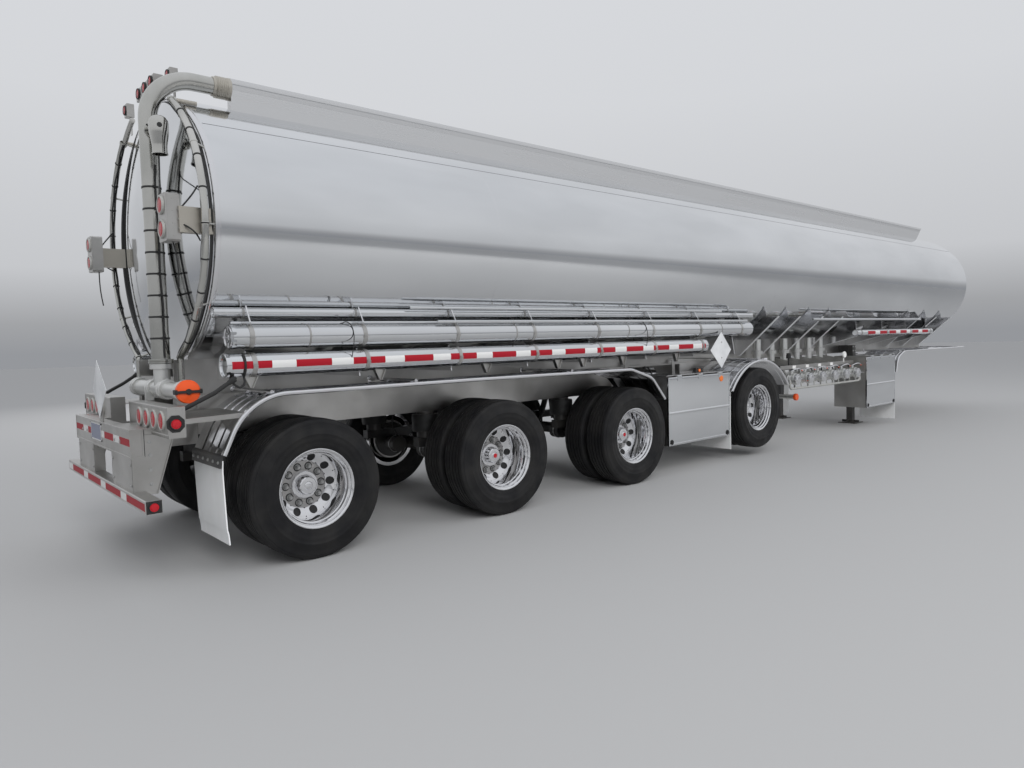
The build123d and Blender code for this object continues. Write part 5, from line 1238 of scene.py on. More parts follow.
for x in (0.35, 3.92):
    turn = np.linspace(0, 2 * np.pi, 72)
    sag = 0.5 - 0.5 * np.sin(turn)
    line = np.column_stack([x + 0.02 * np.sin(turn * 2), 1.165 + 0.098 * np.cos(turn) - 0.03 * (1 - sag),
                            1.565 + 0.19 * np.sin(turn)])
    loops.append(tube(line, 0.0035, 8))
for x in (-0.42, 0.62, 1.72, 2.62, 2.98, 3.6, 4.55):
    low = 1.292 if x < 3.6 else 1.285
    wedge = [(x - 0.06, 1.3885), (x + 0.06, 1.3885), (x + 0.052, 1.377), (x + 0.012, low), (x - 0.012, low),
             (x - 0.052, 1.377)]
    gussets.append(prism(wedge, "xz", 1.158, 1.163))
    gussets.append(prism([(x - 0.052, 1.377), (x - 0.012, low), (x - 0.006, low), (x - 0.044, 1.377)], "xz",
                         1.14, 1.18))
    gussets.append(prism([(x + 0.052, 1.377), (x + 0.012, low), (x + 0.006, low), (x + 0.044, 1.377)], "xz",
                         1.14, 1.18))
add_parts("tube_clamps", mirrored(clamps + gussets), satin)
add_parts("clamp_bolts", mirrored(clamp_bolts), cast)
add_parts("wire_loops", mirrored(loops), black_rubber, angle=60)

# %% Striped tape
red_tape, white_tape = [], []
for spec, x0, x1 in ((TAPED, -0.575, 5.02), (FRONT, 9.62, 10.36), (FRONT, 10.46, 11.36), (FRONT, 11.46, 12.2)):
    spread_angle = 18 if spec is TAPED else 30
    x, red = x0, True
    while x < x1 - 0.05:
        length = 0.28 if red else 0.18
        end = min(x + length, x1)
        strip = half_band(spec, (x + end) / 2, end - x, 0.0006, -spread_angle, spread_angle, 0.0004)
        (red_tape if red else white_tape).append(strip)
        x, red = end, not red
add_parts("red_tape_tubes", mirrored(red_tape), tape_red)
add_parts("white_tape_tubes", mirrored(white_tape), tape_white)

# %% Bracket flanges
flanges = []
for x in BRACKETS:
    flanges.append(blocks([(x - 0.014, 0.935, 1.733, x + 0.024, 1.1, 1.74)]))
    flanges += rivets([(x, yy, 1.72) for yy in (0.95, 0.99)], AFT, 0.006, 0.003)
add_parts("bracket_flanges", mirrored(flanges), satin, angle=30)
print("tubes done")

# %% [markdown]
# Ahead of the tubes the shell stands on slanted gussets. Each has a folded flange along its outer
# edge, which catches the light, and so do the brackets of the front tube.

# %% Gusset flanges
edges = []
for x in (6.9, 7.5, 8.2, 8.85, 12.0, 12.8, 13.6):
    outer = thick([(0.535, 1.272), (0.56, 1.276), (1.152, 1.806), (1.156, 1.812)], 0.005)
    edges.append(prism(outer, "yz", x - 0.022, x + 0.022))
for x in (9.4, 10.4, 11.4, 12.35):
    edges.append(prism(thick([(0.49, 1.33), (1.12, 1.498), (1.122, 1.505)], 0.005), "yz", x - 0.014, x + 0.024))
add_parts("gusset_flanges", mirrored(edges), bare_plate, angle=30)

# %% [markdown]
# ## Cabinets
# Two cabinets hang on the right side. The box stays as it was built. Its door gets a profile with
# rolled edges and a pressed crease, carried along the box, plus end flanges, a double hinge line and
# black latches in round dishes. The doors ride on their own hinges.

# %% Cabinet doors
CABINETS = {"mid": (4.25, 5.488, 0.335, 1.13, 0.705), "front": (9.44, 10.556, 0.35, 1.182, 0.72)}
FACE, BACK = -1.27, -1.253


def door_parts(x0, x1, z0, z1, crease_z):
    """A door: its (y, z) profile carried along X, with flanged ends and hinge knuckles."""
    top = z1 - 0.016
    front = [(FACE + 0.004, z0), (FACE + 0.001, z0 + 0.001), (FACE, z0 + 0.004), (FACE, z0 + 0.022),
             (FACE + 0.003, z0 + 0.026), (FACE + 0.003, crease_z - 0.016), (FACE - 0.0035, crease_z - 0.005),
             (FACE - 0.0035, crease_z + 0.005), (FACE + 0.003, crease_z + 0.016), (FACE + 0.003, top - 0.03),
             (FACE, top - 0.026), (FACE, top - 0.004), (FACE + 0.001, top - 0.001), (FACE + 0.004, top)]
    back = [(BACK, top), (BACK, top - 0.004), (FACE + 0.007, top - 0.004), (FACE + 0.007, z0 + 0.004),
            (BACK, z0 + 0.004), (BACK, z0)]
    parts = [prism(front + back, "yz", x0 + 0.002, x1 - 0.002)]
    rim = rectangle(FACE - 0.0005, BACK, z0 + 0.002, top - 0.002)
    parts.append(prism(rim, "yz", x0, x0 + 0.016))
    parts.append(prism(rim, "yz", x1 - 0.016, x1))
    for x in (x0 + 0.26, (x0 + x1) / 2 + 0.055, x1 - 0.15):
        leaf = [(FACE, top - 0.045), (FACE - 0.0025, top - 0.045), (FACE - 0.0025, top + 0.004),
                (FACE + 0.004, top + 0.006), (FACE + 0.004, top - 0.045)]
        parts.append(prism(leaf, "yz", x - 0.086, x - 0.004))
        parts.append(turned(rectangle(x - 0.088, x - 0.002, 0.00408, 0.0075),
                            (0, -1.262, z1 - 0.006), AHEAD, 16))
        parts += rivets([(x + k, FACE - 0.0025, top - 0.03) for k in (-0.075, -0.045, -0.015)], RIGHT, 0.005)
    return parts


for name, (x0, x1, z0, z1, crease_z) in CABINETS.items():
    door = add_parts(f"door_{name}_skin", door_parts(x0, x1, z0, z1, crease_z), polished,
                     f"{name}_door", angle=30)
    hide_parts(f"cabinet_{name}_door")
    latches = []
    for x in (x0 + 0.055, x1 - 0.055):
        dish = [(-0.001, 0.0), (-0.001, 0.03), (0.004, 0.03), (0.0065, 0.027), (0.0055, 0.023), (0.001, 0.02),
                (0.001, 0.0)]
        latches.append(turned(dish, (x, FACE + 0.002, z0 + 0.04), RIGHT, 28))
        latches.append(blocks([(x - 0.006, FACE - 0.008, z0 + 0.022, x + 0.006, FACE, z0 + 0.058)]))
    bevel(add_parts(f"door_{name}_latches", latches, black_rubber, f"{name}_door"), 0.0015)

# %% Cabinet trim and lamps
trim, trim_bolts, cabinet_lamps, lamp_cases = [], [], [], []
for x0, x1, z0, z1, _ in CABINETS.values():
    lip = [(-1.2475, z1), (-1.2475, z1 + 0.002), (-1.262, z1 + 0.006), (-1.262, z1 + 0.009),
           (-1.243, z1 + 0.005), (-0.8, z1 + 0.003), (-0.8, z1)]
    trim.append(prism(lip, "yz", x0 - 0.004, x1 + 0.004))
    for x in (x0 + 0.14, x0 + 0.17, x1 - 0.16, x1 - 0.13):
        trim_bolts += bolts([(x, -0.541, z1 - 0.012)], RIGHT, 0.008, 0.006)
    for x in (x0, x1):
        way = -1 if x == x0 else 1
        trim_bolts += rivets(spaced((x, -1.2, z0 + 0.03), (x, -1.2, z1 - 0.04), 9), (way, 0, 0), 0.005)
        trim_bolts += rivets(spaced((x, -0.82, z0 + 0.03), (x, -0.82, z1 - 0.04), 9), (way, 0, 0), 0.005)
x0, x1, z0, z1, _ = CABINETS["mid"]
case = [(4.82, z1 + 0.01), (4.98, z1 + 0.01), (4.965, z1 + 0.06), (4.835, z1 + 0.06)]
lamp_cases.append(prism(case, "xz", -1.235, -1.195))
cabinet_lamps.append(turned([(0, 0), (0, 0.02), (0.006, 0.019), (0.01, 0.013), (0.011, 0)],
                            (4.9, -1.235, z1 + 0.035), RIGHT, 28))
reflector = turned([(-0.002, 0), (-0.002, 0.038), (0.004, 0.038), (0.006, 0.034), (0.007, 0.016), (0.007, 0)],
                   (5.31, FACE + 0.003, 1.05), RIGHT, 28)
add_mesh("door_reflector", *reflector, amber_lens, "mid_door")
add_parts("cabinet_trim", trim, bright, angle=30)
add_parts("cabinet_fasteners", trim_bolts, cast, angle=30)
add_parts("cabinet_lamps", cabinet_lamps, amber_lens)
add_parts("cabinet_lamp_cases", lamp_cases, black_rubber)
print("cabinets done")

# %% [markdown]
# ## Bottom outlets
# Each compartment has an elbow, a valve and a capped coupling on the right side. One outlet is worked
# out as turned pieces and a bent tube, then repeated at an even pitch. Handles, caps and the pale
# guard rail are separate pieces.

# %% Outlets
OUTLET_X, OUTLET_PITCH, OUTLET_Z, OUTLET_FACE, DROP_Y, GUARD_Y = 7.25, 0.385, 0.93, -1.215, -0.625, -1.201
outlet_x = OUTLET_X + OUTLET_PITCH * np.arange(6)
bodies, caps, red_bits, handles, nuts = [], [], [], [], []
for k, x in enumerate(outlet_x):
    elbow = fillet([(x, OUTLET_FACE + 0.01, OUTLET_Z), (x, DROP_Y, OUTLET_Z), (x, DROP_Y, 1.5)], 0.12, 16)
    bodies.append(tube(elbow, 0.052, 32))
    valve = [(0.0, 0.0), (0.0, 0.081), (0.004, 0.084), (0.02, 0.084), (0.024, 0.081), (0.028, 0.06),
             (0.045, 0.058), (0.062, 0.066), (0.082, 0.068), (0.09, 0.078), (0.11, 0.078), (0.112, 0.07),
             (0.124, 0.07), (0.126, 0.078), (0.144, 0.078), (0.147, 0.056), (0.15, 0.0)]
    bodies.append(turned(valve, (x, OUTLET_FACE, OUTLET_Z), LEFT))
    for z in (1.28, 1.304):
        bodies.append(turned([(0, 0.0), (0, 0.078), (0.002, 0.08), (0.02, 0.08), (0.022, 0.078), (0.022, 0.0)],
                             (x, DROP_Y, z), UP, 32))
    turn = np.arange(8) * np.pi / 4
    nuts += bolts(np.stack([x + 0.066 * np.cos(turn), np.full(8, DROP_Y) + 0.066 * np.sin(turn),
                            np.full(8, 1.326)], -1), UP, 0.008, 0.01)
    bodies.append(turned([(0.0, 0.0), (0.0, 0.03), (0.034, 0.03), (0.036, 0.02), (0.064, 0.018), (0.066, 0.0)],
                         (x, OUTLET_FACE + 0.062, OUTLET_Z + 0.05), UP, 24))
    bodies.append(blocks([(x - 0.012, OUTLET_FACE + 0.004, 0.802, x + 0.012, OUTLET_FACE + 0.024, 0.885)]))
    cap = [(0.0, 0.0), (0.0, 0.07), (0.003, 0.074), (0.04, 0.074), (0.044, 0.07), (0.044, 0.044), (0.05, 0.038),
           (0.052, 0.0)]
    caps.append(turned(cap, (x, OUTLET_FACE + 0.001, OUTLET_Z), RIGHT, 36))
    s = np.linspace(0, 1, 14)
    for way in (-1, 1):
        arm = np.column_stack([x + way * (0.078 + 0.022 * np.sin(s * 2.6)),
                               OUTLET_FACE - 0.028 - 0.05 * s ** 1.5, np.full(14, OUTLET_Z) + 0.004 * s])
        caps.append(tube(arm, 0.0065, 10))
        caps.append(turned(disc(-0.012, 0.012, 0.011), (x + way * 0.078, OUTLET_FACE - 0.028, OUTLET_Z),
                           UP, 14))
    sweep_line = np.column_stack([x + 0.01 + 0.17 * s, OUTLET_FACE + 0.062 - 0.055 * np.sin(s * 1.9),
                                  OUTLET_Z + 0.116 + 0.03 * np.sin(s * 3.0)])
    handles.append(tube(sweep_line, np.linspace(0.0095, 0.0075, 14), 12))
    handles.append(turned(disc(0, 0.012, 0.019), (x, OUTLET_FACE + 0.062, OUTLET_Z + 0.11), UP, 20))
    red_bits.append(turned([(0, 0), (0, 0.01), (0.02, 0.01), (0.024, 0.006), (0.024, 0)], sweep_line[-1],
                           sweep_line[-1] - sweep_line[-3], 14))
outlets = add_parts("bottom_outlets", bodies, pale_cast)
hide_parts("outlet_manifold")
add_parts("outlet_caps", caps, bright)
add_parts("outlet_handles", handles, bright, angle=50)
add_parts("outlet_nuts", nuts, cast, angle=30)
add_parts("handle_ends", red_bits, orange_cap, angle=40)

guard = [tube(fillet([(7.11, GUARD_Y, 0.93), (7.11, GUARD_Y, 0.8), (9.315, GUARD_Y, 0.8),
                      (9.315, GUARD_Y, 0.93)], 0.05, 10), 0.016, 18)]
for x in outlet_x + OUTLET_PITCH / 2:
    guard.append(tube([(x, GUARD_Y, 0.8), (x, -1.19, 0.88)], 0.008, 10))
add_parts("outlet_guard", guard, pale_trim, angle=50)

# %% Manifold fittings
frame_bar = [blocks([(7.06, -1.09, 1.06, 9.36, -1.084, 1.12), (7.06, -1.09, 1.06, 9.36, -1.04, 1.066)])]
for x in outlet_x:
    frame_bar.append(prism([(-0.535, 1.222), (-0.56, 1.222), (-1.088, 1.118), (-1.088, 1.085), (-0.535, 1.15)],
                           "yz", x + 0.15, x + 0.156))
plates_on_bar = [blocks([(x - 0.045, -1.0925, 1.07, x + 0.045, -1.09, 1.112)]) for x in (7.44, 7.83, 8.21, 8.6)]
add_parts("manifold_bar", frame_bar, satin, angle=30)
add_parts("compartment_plates", plates_on_bar, gauge_white, angle=30)
GAUGE_X, VENT_X = 9.02, 7.36
gauge = turned([(0, 0), (0, 0.05), (0.018, 0.05), (0.022, 0.046), (0.018, 0.043), (0.018, 0)],
               (GAUGE_X, -1.09, 1.22), RIGHT)
post = tube([(GAUGE_X, -1.085, 1.1), (GAUGE_X, -1.085, 1.2)], 0.01, 12)
add_parts("white_gauge", [gauge, post], gauge_white)
vent = [turned([(0, 0), (0, 0.034), (0.05, 0.034), (0.056, 0.028), (0.07, 0.028), (0.074, 0.022), (0.074, 0)],
               (VENT_X, -1.05, 1.22), UP, 28), tube([(VENT_X, -1.05, 1.1), (VENT_X, -1.05, 1.23)], 0.012, 12)]
add_parts("black_vent", vent, black_rubber)
s = np.linspace(0, 1, 60)
loops = []
for x0, x1, drop in ((7.42, 7.7, 0.16), (8.05, 8.4, 0.22), (8.72, 9.1, 0.2), (8.9, 9.32, 0.15)):
    line = np.column_stack([x0 + (x1 - x0) * s, -1.03 - 0.05 * np.sin(s * np.pi),
                            1.06 - drop * np.sin(s * np.pi)])
    loops.append(tube(line, 0.01, 10))
add_parts("air_hoses", loops, black_rubber, angle=60)
SPARE_X, SPARE_Z = 7.47, 0.66
coupling = [turned([(0, 0), (0, 0.046), (0.004, 0.05), (0.036, 0.05), (0.04, 0.046), (0.04, 0)],
                   (SPARE_X, -1.08, SPARE_Z), RIGHT, 32)]
arm = [turned([(0, 0), (0, 0.036), (0.03, 0.036), (0.03, 0.044), (0.05, 0.044), (0.05, 0.036), (0.14, 0.036),
               (0.14, 0)], (SPARE_X, -0.94, SPARE_Z), RIGHT, 28),
       tube(fillet([(SPARE_X, -0.95, SPARE_Z), (SPARE_X, -0.74, SPARE_Z), (SPARE_X, -0.52, 0.92),
                    (SPARE_X, -0.48, 1.216)], 0.09, 10), 0.03, 20)]
add_parts("red_coupling_cap", coupling, orange_cap)
add_parts("spare_coupling", arm, pale_cast)
print("outlets done")

# %% [markdown]
# ## Rear guard, plates and placards
# The bumper is two folded beams on posts. Its sheets get soft edges, striped tape, a blank plate, black
# end caps and rows of bolts. Each placard is a folded blank diamond on a bracket.

# %% Rear guard
BEAM_FRONT = -1.068
UPPER_X, UPPER_Y, UPPER_Z = (-1.153, BEAM_FRONT), 0.892, (0.85, 1.042)
BAR_X, BAR_Y, BAR_Z = (-1.168, BEAM_FRONT), 1.262, (0.53, 0.618)


def soft_box(x0, y0, z0, x1, y1, z1, soft=0.006):
    """A box along Y whose long edges are cut at 45 degrees by a small amount."""
    s = soft
    outline = [(x0 + s, z0), (x1 - s, z0), (x1, z0 + s), (x1, z1 - s), (x1 - s, z1), (x0 + s, z1), (x0, z1 - s),
               (x0, z0 + s)]
    return prism(outline, "xz", y0, y1)


beam = [soft_box(UPPER_X[0], -UPPER_Y, UPPER_Z[0], UPPER_X[1], UPPER_Y, UPPER_Z[1]),
        soft_box(BAR_X[0], -BAR_Y, BAR_Z[0], BAR_X[1], BAR_Y, BAR_Z[1])]
end = UPPER_Y + 0.003
beam.append(soft_box(UPPER_X[0] - 0.003, -end, UPPER_Z[1] - 0.012, UPPER_X[1] + 0.001, end, UPPER_Z[1] + 0.003,
                     0.002))
beam.append(soft_box(UPPER_X[0] - 0.003, -end, UPPER_Z[0] - 0.003, UPPER_X[1] + 0.001, end, UPPER_Z[0] + 0.012,
                     0.002))
for sign in (-1, 1):
    for x in (UPPER_X[0] - 0.002, UPPER_X[1] - 0.011):
        beam.append(blocks([(x, sign * (UPPER_Y - 0.001), UPPER_Z[0] + 0.011, x + 0.011, sign * end,
                             UPPER_Z[1] - 0.011)]))
beam_bolts = []
for sign in (-1, 1):
    for y0, y1 in ((0.3, 0.312), (0.868, 0.88)):
        beam.append(blocks([(-1.145, sign * y0, BAR_Z[1], BEAM_FRONT, sign * y1, UPPER_Z[0])]))
    beam.append(blocks([(-1.145, sign * 0.306, BAR_Z[1], -1.14, sign * 0.874, UPPER_Z[0])]))
    side_plate = [(BEAM_FRONT, 0.59), (BEAM_FRONT, 1.0), (-0.88, 1.0), (-0.88, 0.97), (-0.998, 0.59)]
    beam.append(prism(side_plate, "xz", sign * 0.88, sign * 0.868))
    edge = [(-0.998, 0.59), (-0.88, 0.97), (-0.874, 0.97), (-0.992, 0.59)]
    beam.append(prism(edge, "xz", sign * 0.892, sign * 0.845))
    arm_y = (sign * 0.435, sign * 0.525)
    beam.append(blocks([(BEAM_FRONT, arm_y[0], 0.86, -0.6, arm_y[1], 0.985),
                        (-0.74, arm_y[0], 0.985, -0.6, arm_y[1], 1.215)]))
    beam_bolts += bolts([(-1.03, sign * 0.88, z) for z in (0.66, 0.76, 0.86, 0.95)], (0, sign, 0), 0.01, 0.008)
    beam_bolts += bolts([(-1.145, sign * y, z) for y in (0.34, 0.84) for z in (0.66, 0.8)], AFT, 0.009, 0.007)
    beam_bolts += bolts([(UPPER_X[0], sign * y, 0.946) for y in (0.46, 0.62)], AFT, 0.009, 0.007)
guard = add_parts("bumper_beams", beam, satin, angle=30)
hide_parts("rear_guard")
add_parts("bumper_bolts", beam_bolts, cast, angle=30)


def facing_tape(x, z0, z1, spans, colours):
    """Flat strips on a face that looks backwards, in the two colours by turns."""
    for k, (y0, y1) in enumerate(spans):
        colours[k % 2].append(blocks([(x - 0.0008, y0, z0, x + 0.001, y1, z1)]))


red_strips, white_strips = [], []
facing_tape(UPPER_X[0], 0.93, 0.98, [(-0.885, -0.605), (-0.605, -0.425), (-0.425, -0.145), (-0.145, 0.145),
                                     (0.145, 0.425), (0.425, 0.605), (0.605, 0.885)],
            (red_strips, white_strips))
facing_tape(BAR_X[0], 0.549, 0.599, [(-1.24, -0.78), (-0.78, -0.62), (-0.62, -0.16), (-0.16, 0.0), (0.0, 0.46),
                                     (0.46, 0.62), (0.62, 1.08), (1.08, 1.24)], (red_strips, white_strips))
add_parts("red_tape_rear", red_strips, tape_red, angle=30)
add_parts("white_tape_rear", white_strips, tape_white, angle=30)

end_caps = mirrored([blocks([(-1.165, 1.2595, 0.533, -1.071, 1.264, 0.615)]),
                     blocks([(-1.0665, 0.872, 0.853, -1.0635, 0.8935, 1.04)])])
add_parts("bar_end_caps", end_caps, black_rubber, angle=30)
plate_parts = [blocks([(UPPER_X[0] - 0.004, -0.05, 0.905, UPPER_X[0] - 0.001, 0.28, 1.02)])]
add_parts("blank_plate", plate_parts, bluish_plate, angle=30)
x = UPPER_X[0]
plate_edge = [blocks([(x - 0.006, -0.06, 0.895, x, -0.05, 1.03), (x - 0.006, 0.28, 0.895, x, 0.29, 1.03),
                      (x - 0.006, -0.06, 0.895, x, 0.29, 0.905), (x - 0.006, -0.06, 1.02, x, 0.29, 1.03)])]
plate_edge += bolts([(x - 0.004, y, 0.998) for y in (-0.03, 0.26)], AFT, 0.004, 0.003)
add_parts("plate_frame", plate_edge, bright, angle=30)

# %% Shelf strips, straps and cables
x0, x1, z0, z1 = -0.905, -0.478, 1.115, 1.128
shelf = [prism([(x0, z0), (x1, z1), (x1, z1 + 0.004), (x0, z0 + 0.004)], "xz", 0.7, 1.255),
         prism([(x0, z0), (x1, z1), (x1, z1 - 0.03), (x0, z0 - 0.03)], "xz", 1.252, 1.256)]
shelf += rivets([(x0 + (x1 - x0) * t, 1.235, z0 + (z1 - z0) * t + 0.004) for t in np.linspace(0.06, 0.94, 9)],
                UP, 0.006)
add_parts("shelf_strips", mirrored(shelf), satin, angle=30)
turn = np.radians(np.linspace(60, -60, 14))
wrap = np.column_stack([np.full(14, -0.487), 1.165 + 0.091 * np.cos(turn), 1.455 + 0.091 * np.sin(turn)])
strap_line = np.concatenate([wrap, [(-0.49, 1.236, 1.345), (-0.5, 1.24, 1.318), (-0.528, 1.24, 1.302),
                                    (-0.558, 1.24, 1.318), (-0.58, 1.24, 1.342)]])
cable_line = fillet([(-0.6, 1.24, 1.34), (-0.7, 1.235, 1.275), (-0.8, 1.215, 1.225), (-0.905, 1.18, 1.17)], 0.1,
                    8)
straps = [tube(strap_line, 0.0085, 10), tube(cable_line, 0.015, 14)]
straps.append(turned([(0, 0), (0, 0.022), (0.03, 0.022), (0.034, 0.018), (0.05, 0.018), (0.05, 0)],
                     (-0.56, 1.24, 1.365), (-0.85, 0, -0.53), 18))
straps.append(tube([(-0.56, 1.24, 1.365), (-0.56, 1.16, 1.375)], 0.014, 12))
add_parts("rear_cables", mirrored(straps), black_rubber, angle=50)

# %% Placards
def diamond(centre, half, plane, way):
    """A diamond plate with a fold along its upright middle."""
    a, z, depth = centre
    parts = []
    for sign in (-1, 1):
        near, far = depth + way * 0.01, depth
        ring = [(a, z + half), (a + sign * half, z), (a, z - half)]
        first, third = (0, 1) if plane == "xz" else (1, 0)
        flat = np.zeros((6, 3))
        for k, (p, q) in enumerate(ring):
            front = near if k != 1 else far
            flat[k, first], flat[k, 2], flat[k, third] = p, q, front
            flat[k + 3, first], flat[k + 3, 2], flat[k + 3, third] = p, q, front - way * 0.003
        faces = [[0, 1, 2], [5, 4, 3], [0, 3, 4, 1], [1, 4, 5, 2], [2, 5, 3, 0]]
        parts.append(outward(flat, faces))
    return parts


PLACARD_X, PLACARD_HALF = 5.36, 0.222
diamonds, frames = [], []
for sign in (-1, 1):
    diamonds += diamond((PLACARD_X, 1.395, sign * 1.2335), PLACARD_HALF, "xz", sign)
    frames.append(blocks([(PLACARD_X - 0.03, sign * 1.232, 1.29, PLACARD_X + 0.03, sign * 0.486, 1.298),
                          (PLACARD_X - 0.035, sign * 1.2325, 1.25, PLACARD_X + 0.035, sign * 1.2285, 1.54)]))
    frames += bolts([(PLACARD_X, sign * 1.2435, z) for z in (1.3, 1.49)], (0, sign, 0), 0.006, 0.005)
diamonds += diamond((0.0, 1.29, -1.14), PLACARD_HALF, "yz", -1)
frames.append(blocks([(-1.14, -0.06, 1.042, -1.132, 0.06, 1.18),
                      (-1.1395, -0.035, 1.15, -1.1345, 0.035, 1.44)]))
placard = add_parts("placard_faces", diamonds, bare_plate, angle=5)
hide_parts("placards")
add_parts("placard_frames", frames, satin, angle=30)
print("rear guard done")

# %% [markdown]
# ## Underbody
# Under the frame sit air springs with ribbed bellows, shock absorbers, brake chambers, drum bolts, air
# lines and two polished air tanks. The axles and arms keep their built shape.

# %% Air springs, shocks and chambers
bellows, shocks, bands, lines, small_steel = [], [], [], [], []
for name, x in AXLE_X.items():
    z = AXLE_Z[name]
    base = 1.04 if name == "4" else 0.93
    top = z + 0.073 + 0.085
    at = x - 0.33
    for sign in (-1, 1):
        low, high = top + 0.06, base - 0.024
        mid = (low + high) / 2
        ribs = [(low - 0.001, 0.09), (low, 0.122), (low + 0.01, 0.1285)]
        ribs += [(mid - 0.012, 0.13), (mid, 0.1265), (mid + 0.012, 0.13)]
        ribs += [(high - 0.01, 0.1285), (high, 0.122), (high + 0.001, 0.09)]
        bellows.append(turned(ribs, (at, sign * 0.48, 0), UP))
        shocks.append(tube([(x + 0.13, sign * 0.4, z + 0.02), (x + 0.3, sign * 0.4, base - 0.02)], 0.028, 18))
        shocks.append(tube([(x + 0.19, sign * 0.4, z + 0.13), (x + 0.3, sign * 0.4, base - 0.02)], 0.036, 18))
        if name != "4":
            bands.append(turned(rectangle(-0.006, 0.006, 0.083, 0.09), (x - 0.19, sign * 0.29, z + 0.01),
                                LEFT, 36))
            small_steel.append(tube([(x - 0.19, sign * 0.36, z + 0.01), (x - 0.19, sign * 0.44, z + 0.01),
                                     (x - 0.03, sign * 0.52, z + 0.01)], 0.009, 10))
            s = np.linspace(0, 1, 24)
            hang = np.column_stack([x - 0.19 - 0.06 * np.sin(s * np.pi), np.full(24, sign * 0.25),
                                    z + 0.09 + (base - z - 0.09) * s])
            lines.append(tube(hang, 0.008, 8))
        for k in range(6 if name != "4" else 0):
            a = np.pi / 3 * k
            small_steel += bolts([(x + 0.06 * math.cos(a), sign * 0.69, z + 0.06 * math.sin(a))], (0, -sign, 0),
                                 0.007, 0.006)
add_parts("air_bellows", bellows, black_rubber, angle=40)
add_parts("shock_absorbers", shocks, black_steel, angle=50)
add_parts("chamber_bands", bands, cast, angle=40)
add_parts("slack_levers", small_steel, black_steel, angle=40)
for y in (-0.1, 0.1):
    s = np.linspace(-0.4, 9.0, 160)
    lines.append(tube(np.column_stack([s, y + 0.012 * np.sin(s * 2.2), 1.235 + 0.01 * np.sin(s * 5)]), 0.009,
                      8))
add_parts("air_lines", lines, black_rubber, angle=60)
tank_rows = [(-0.36, 0), (-0.355, 0.06), (-0.33, 0.098), (-0.3, 0.11), (0.3, 0.11), (0.33, 0.098),
             (0.355, 0.06), (0.36, 0)]
air_tanks, tank_bands = [], []
AIR_TANK_X, AIR_TANK_Z = 4.78, 1.085
for y in (-0.36, 0.36):
    air_tanks.append(turned(tank_rows, (AIR_TANK_X, y, AIR_TANK_Z), AHEAD))
    for x in (AIR_TANK_X - 0.2, AIR_TANK_X + 0.2):
        tank_bands.append(turned(rectangle(-0.012, 0.012, 0.109, 0.1125), (x, y, AIR_TANK_Z), AHEAD))
        tank_bands.append(blocks([(x - 0.012, y - 0.004, 1.19, x + 0.012, y + 0.004, 1.232)]))
add_parts("air_tanks", air_tanks, bright)
add_parts("air_tank_straps", tank_bands, black_steel)

# %% [markdown]
# The landing legs get their gearbox, crank, ribs and bolts. The coupler plate gets a ring of bolts, a
# nose panel with two air couplings and a plug, and the kingpin keeps its built shape.

# %% Landing gear and front end
leg_bits, leg_bolts, crank = [], [], []
LEG_X, LEG_Y, CRANK_Z = 10.24, 0.66, 0.985
LEG_PLATES = ((0.066, 0.066, 0.415, 0.435), (0.085, 0.085, 1.19, 1.203), (0.148, 0.005, 0.016, 0.05),
              (0.004, 0.145, 0.016, 0.05))
for sign in (-1, 1):
    leg_bits.append(blocks([(LEG_X - dx, sign * (LEG_Y - dy), low, LEG_X + dx, sign * (LEG_Y + dy), high)
                            for dx, dy, low, high in LEG_PLATES]))
    leg_bits.append(turned([(0.016, 0), (0.016, 0.075), (0.04, 0.06), (0.055, 0.052), (0.055, 0)],
                           (LEG_X, sign * LEG_Y, 0), UP, 28))
    leg_bolts += bolts([(LEG_X + dx, sign * 0.72, z) for dx in (-0.04, 0.04) for z in (1.25, 1.32)],
                       (0, sign, 0), 0.01, 0.008)
box = [(LEG_X - 0.075, 0.9), (LEG_X + 0.075, 0.9), (LEG_X + 0.085, 0.93), (LEG_X + 0.085, 1.06),
       (LEG_X + 0.06, 1.085), (LEG_X - 0.06, 1.085), (LEG_X - 0.085, 1.06), (LEG_X - 0.085, 0.93)]
leg_bits.append(prism(box, "xz", 0.719, 0.775))
crank.append(turned(disc(0, 0.05, 0.022), (LEG_X, 0.772, CRANK_Z), LEFT, 20))
crank.append(tube(fillet([(LEG_X, 0.8, CRANK_Z), (LEG_X, 0.86, CRANK_Z), (LEG_X + 0.1, 0.88, 0.74),
                          (LEG_X + 0.1, 1.0, 0.74)], 0.03, 8), 0.011, 12))
add_parts("leg_fittings", leg_bits, black_steel, angle=30)
add_parts("leg_bolts", leg_bolts, cast, angle=30)
add_parts("leg_crank", crank, cast, angle=40)
plate_bolts = []
for y in (-0.48, 0.48):
    plate_bolts += bolts(spaced((12.3, y, 1.201), (13.78, y, 1.201), 12), (0, 0, -1), 0.01, 0.008)
for x in (12.28, 13.79):
    plate_bolts += bolts(spaced((x, -0.4, 1.201), (x, 0.4, 1.201), 7), (0, 0, -1), 0.01, 0.008)
add_parts("coupler_bolts", plate_bolts, cast, angle=30)
NOSE_X, NOSE_Z = 13.856, 1.315
nose_panel = [blocks([(13.85, -0.4, 1.225, NOSE_X, 0.4, 1.4)])]
nose_panel += bolts([(NOSE_X, y, z) for y in (-0.37, 0.37) for z in (1.245, 1.38)], AHEAD, 0.008, 0.006)
add_parts("nose_panel", nose_panel, satin, angle=30)
for name, y, lens in (("supply", -0.22, red_lens), ("service", 0.22, tape_white)):
    head = [turned([(0, 0), (0, 0.038), (0.02, 0.038), (0.03, 0.03), (0.034, 0.016), (0.034, 0)],
                   (NOSE_X, y, NOSE_Z), AHEAD, 28),
            blocks([(NOSE_X, y - 0.052, 1.335, 13.88, y + 0.012, 1.352)])]
    add_parts(f"{name}_coupling", head, lens)
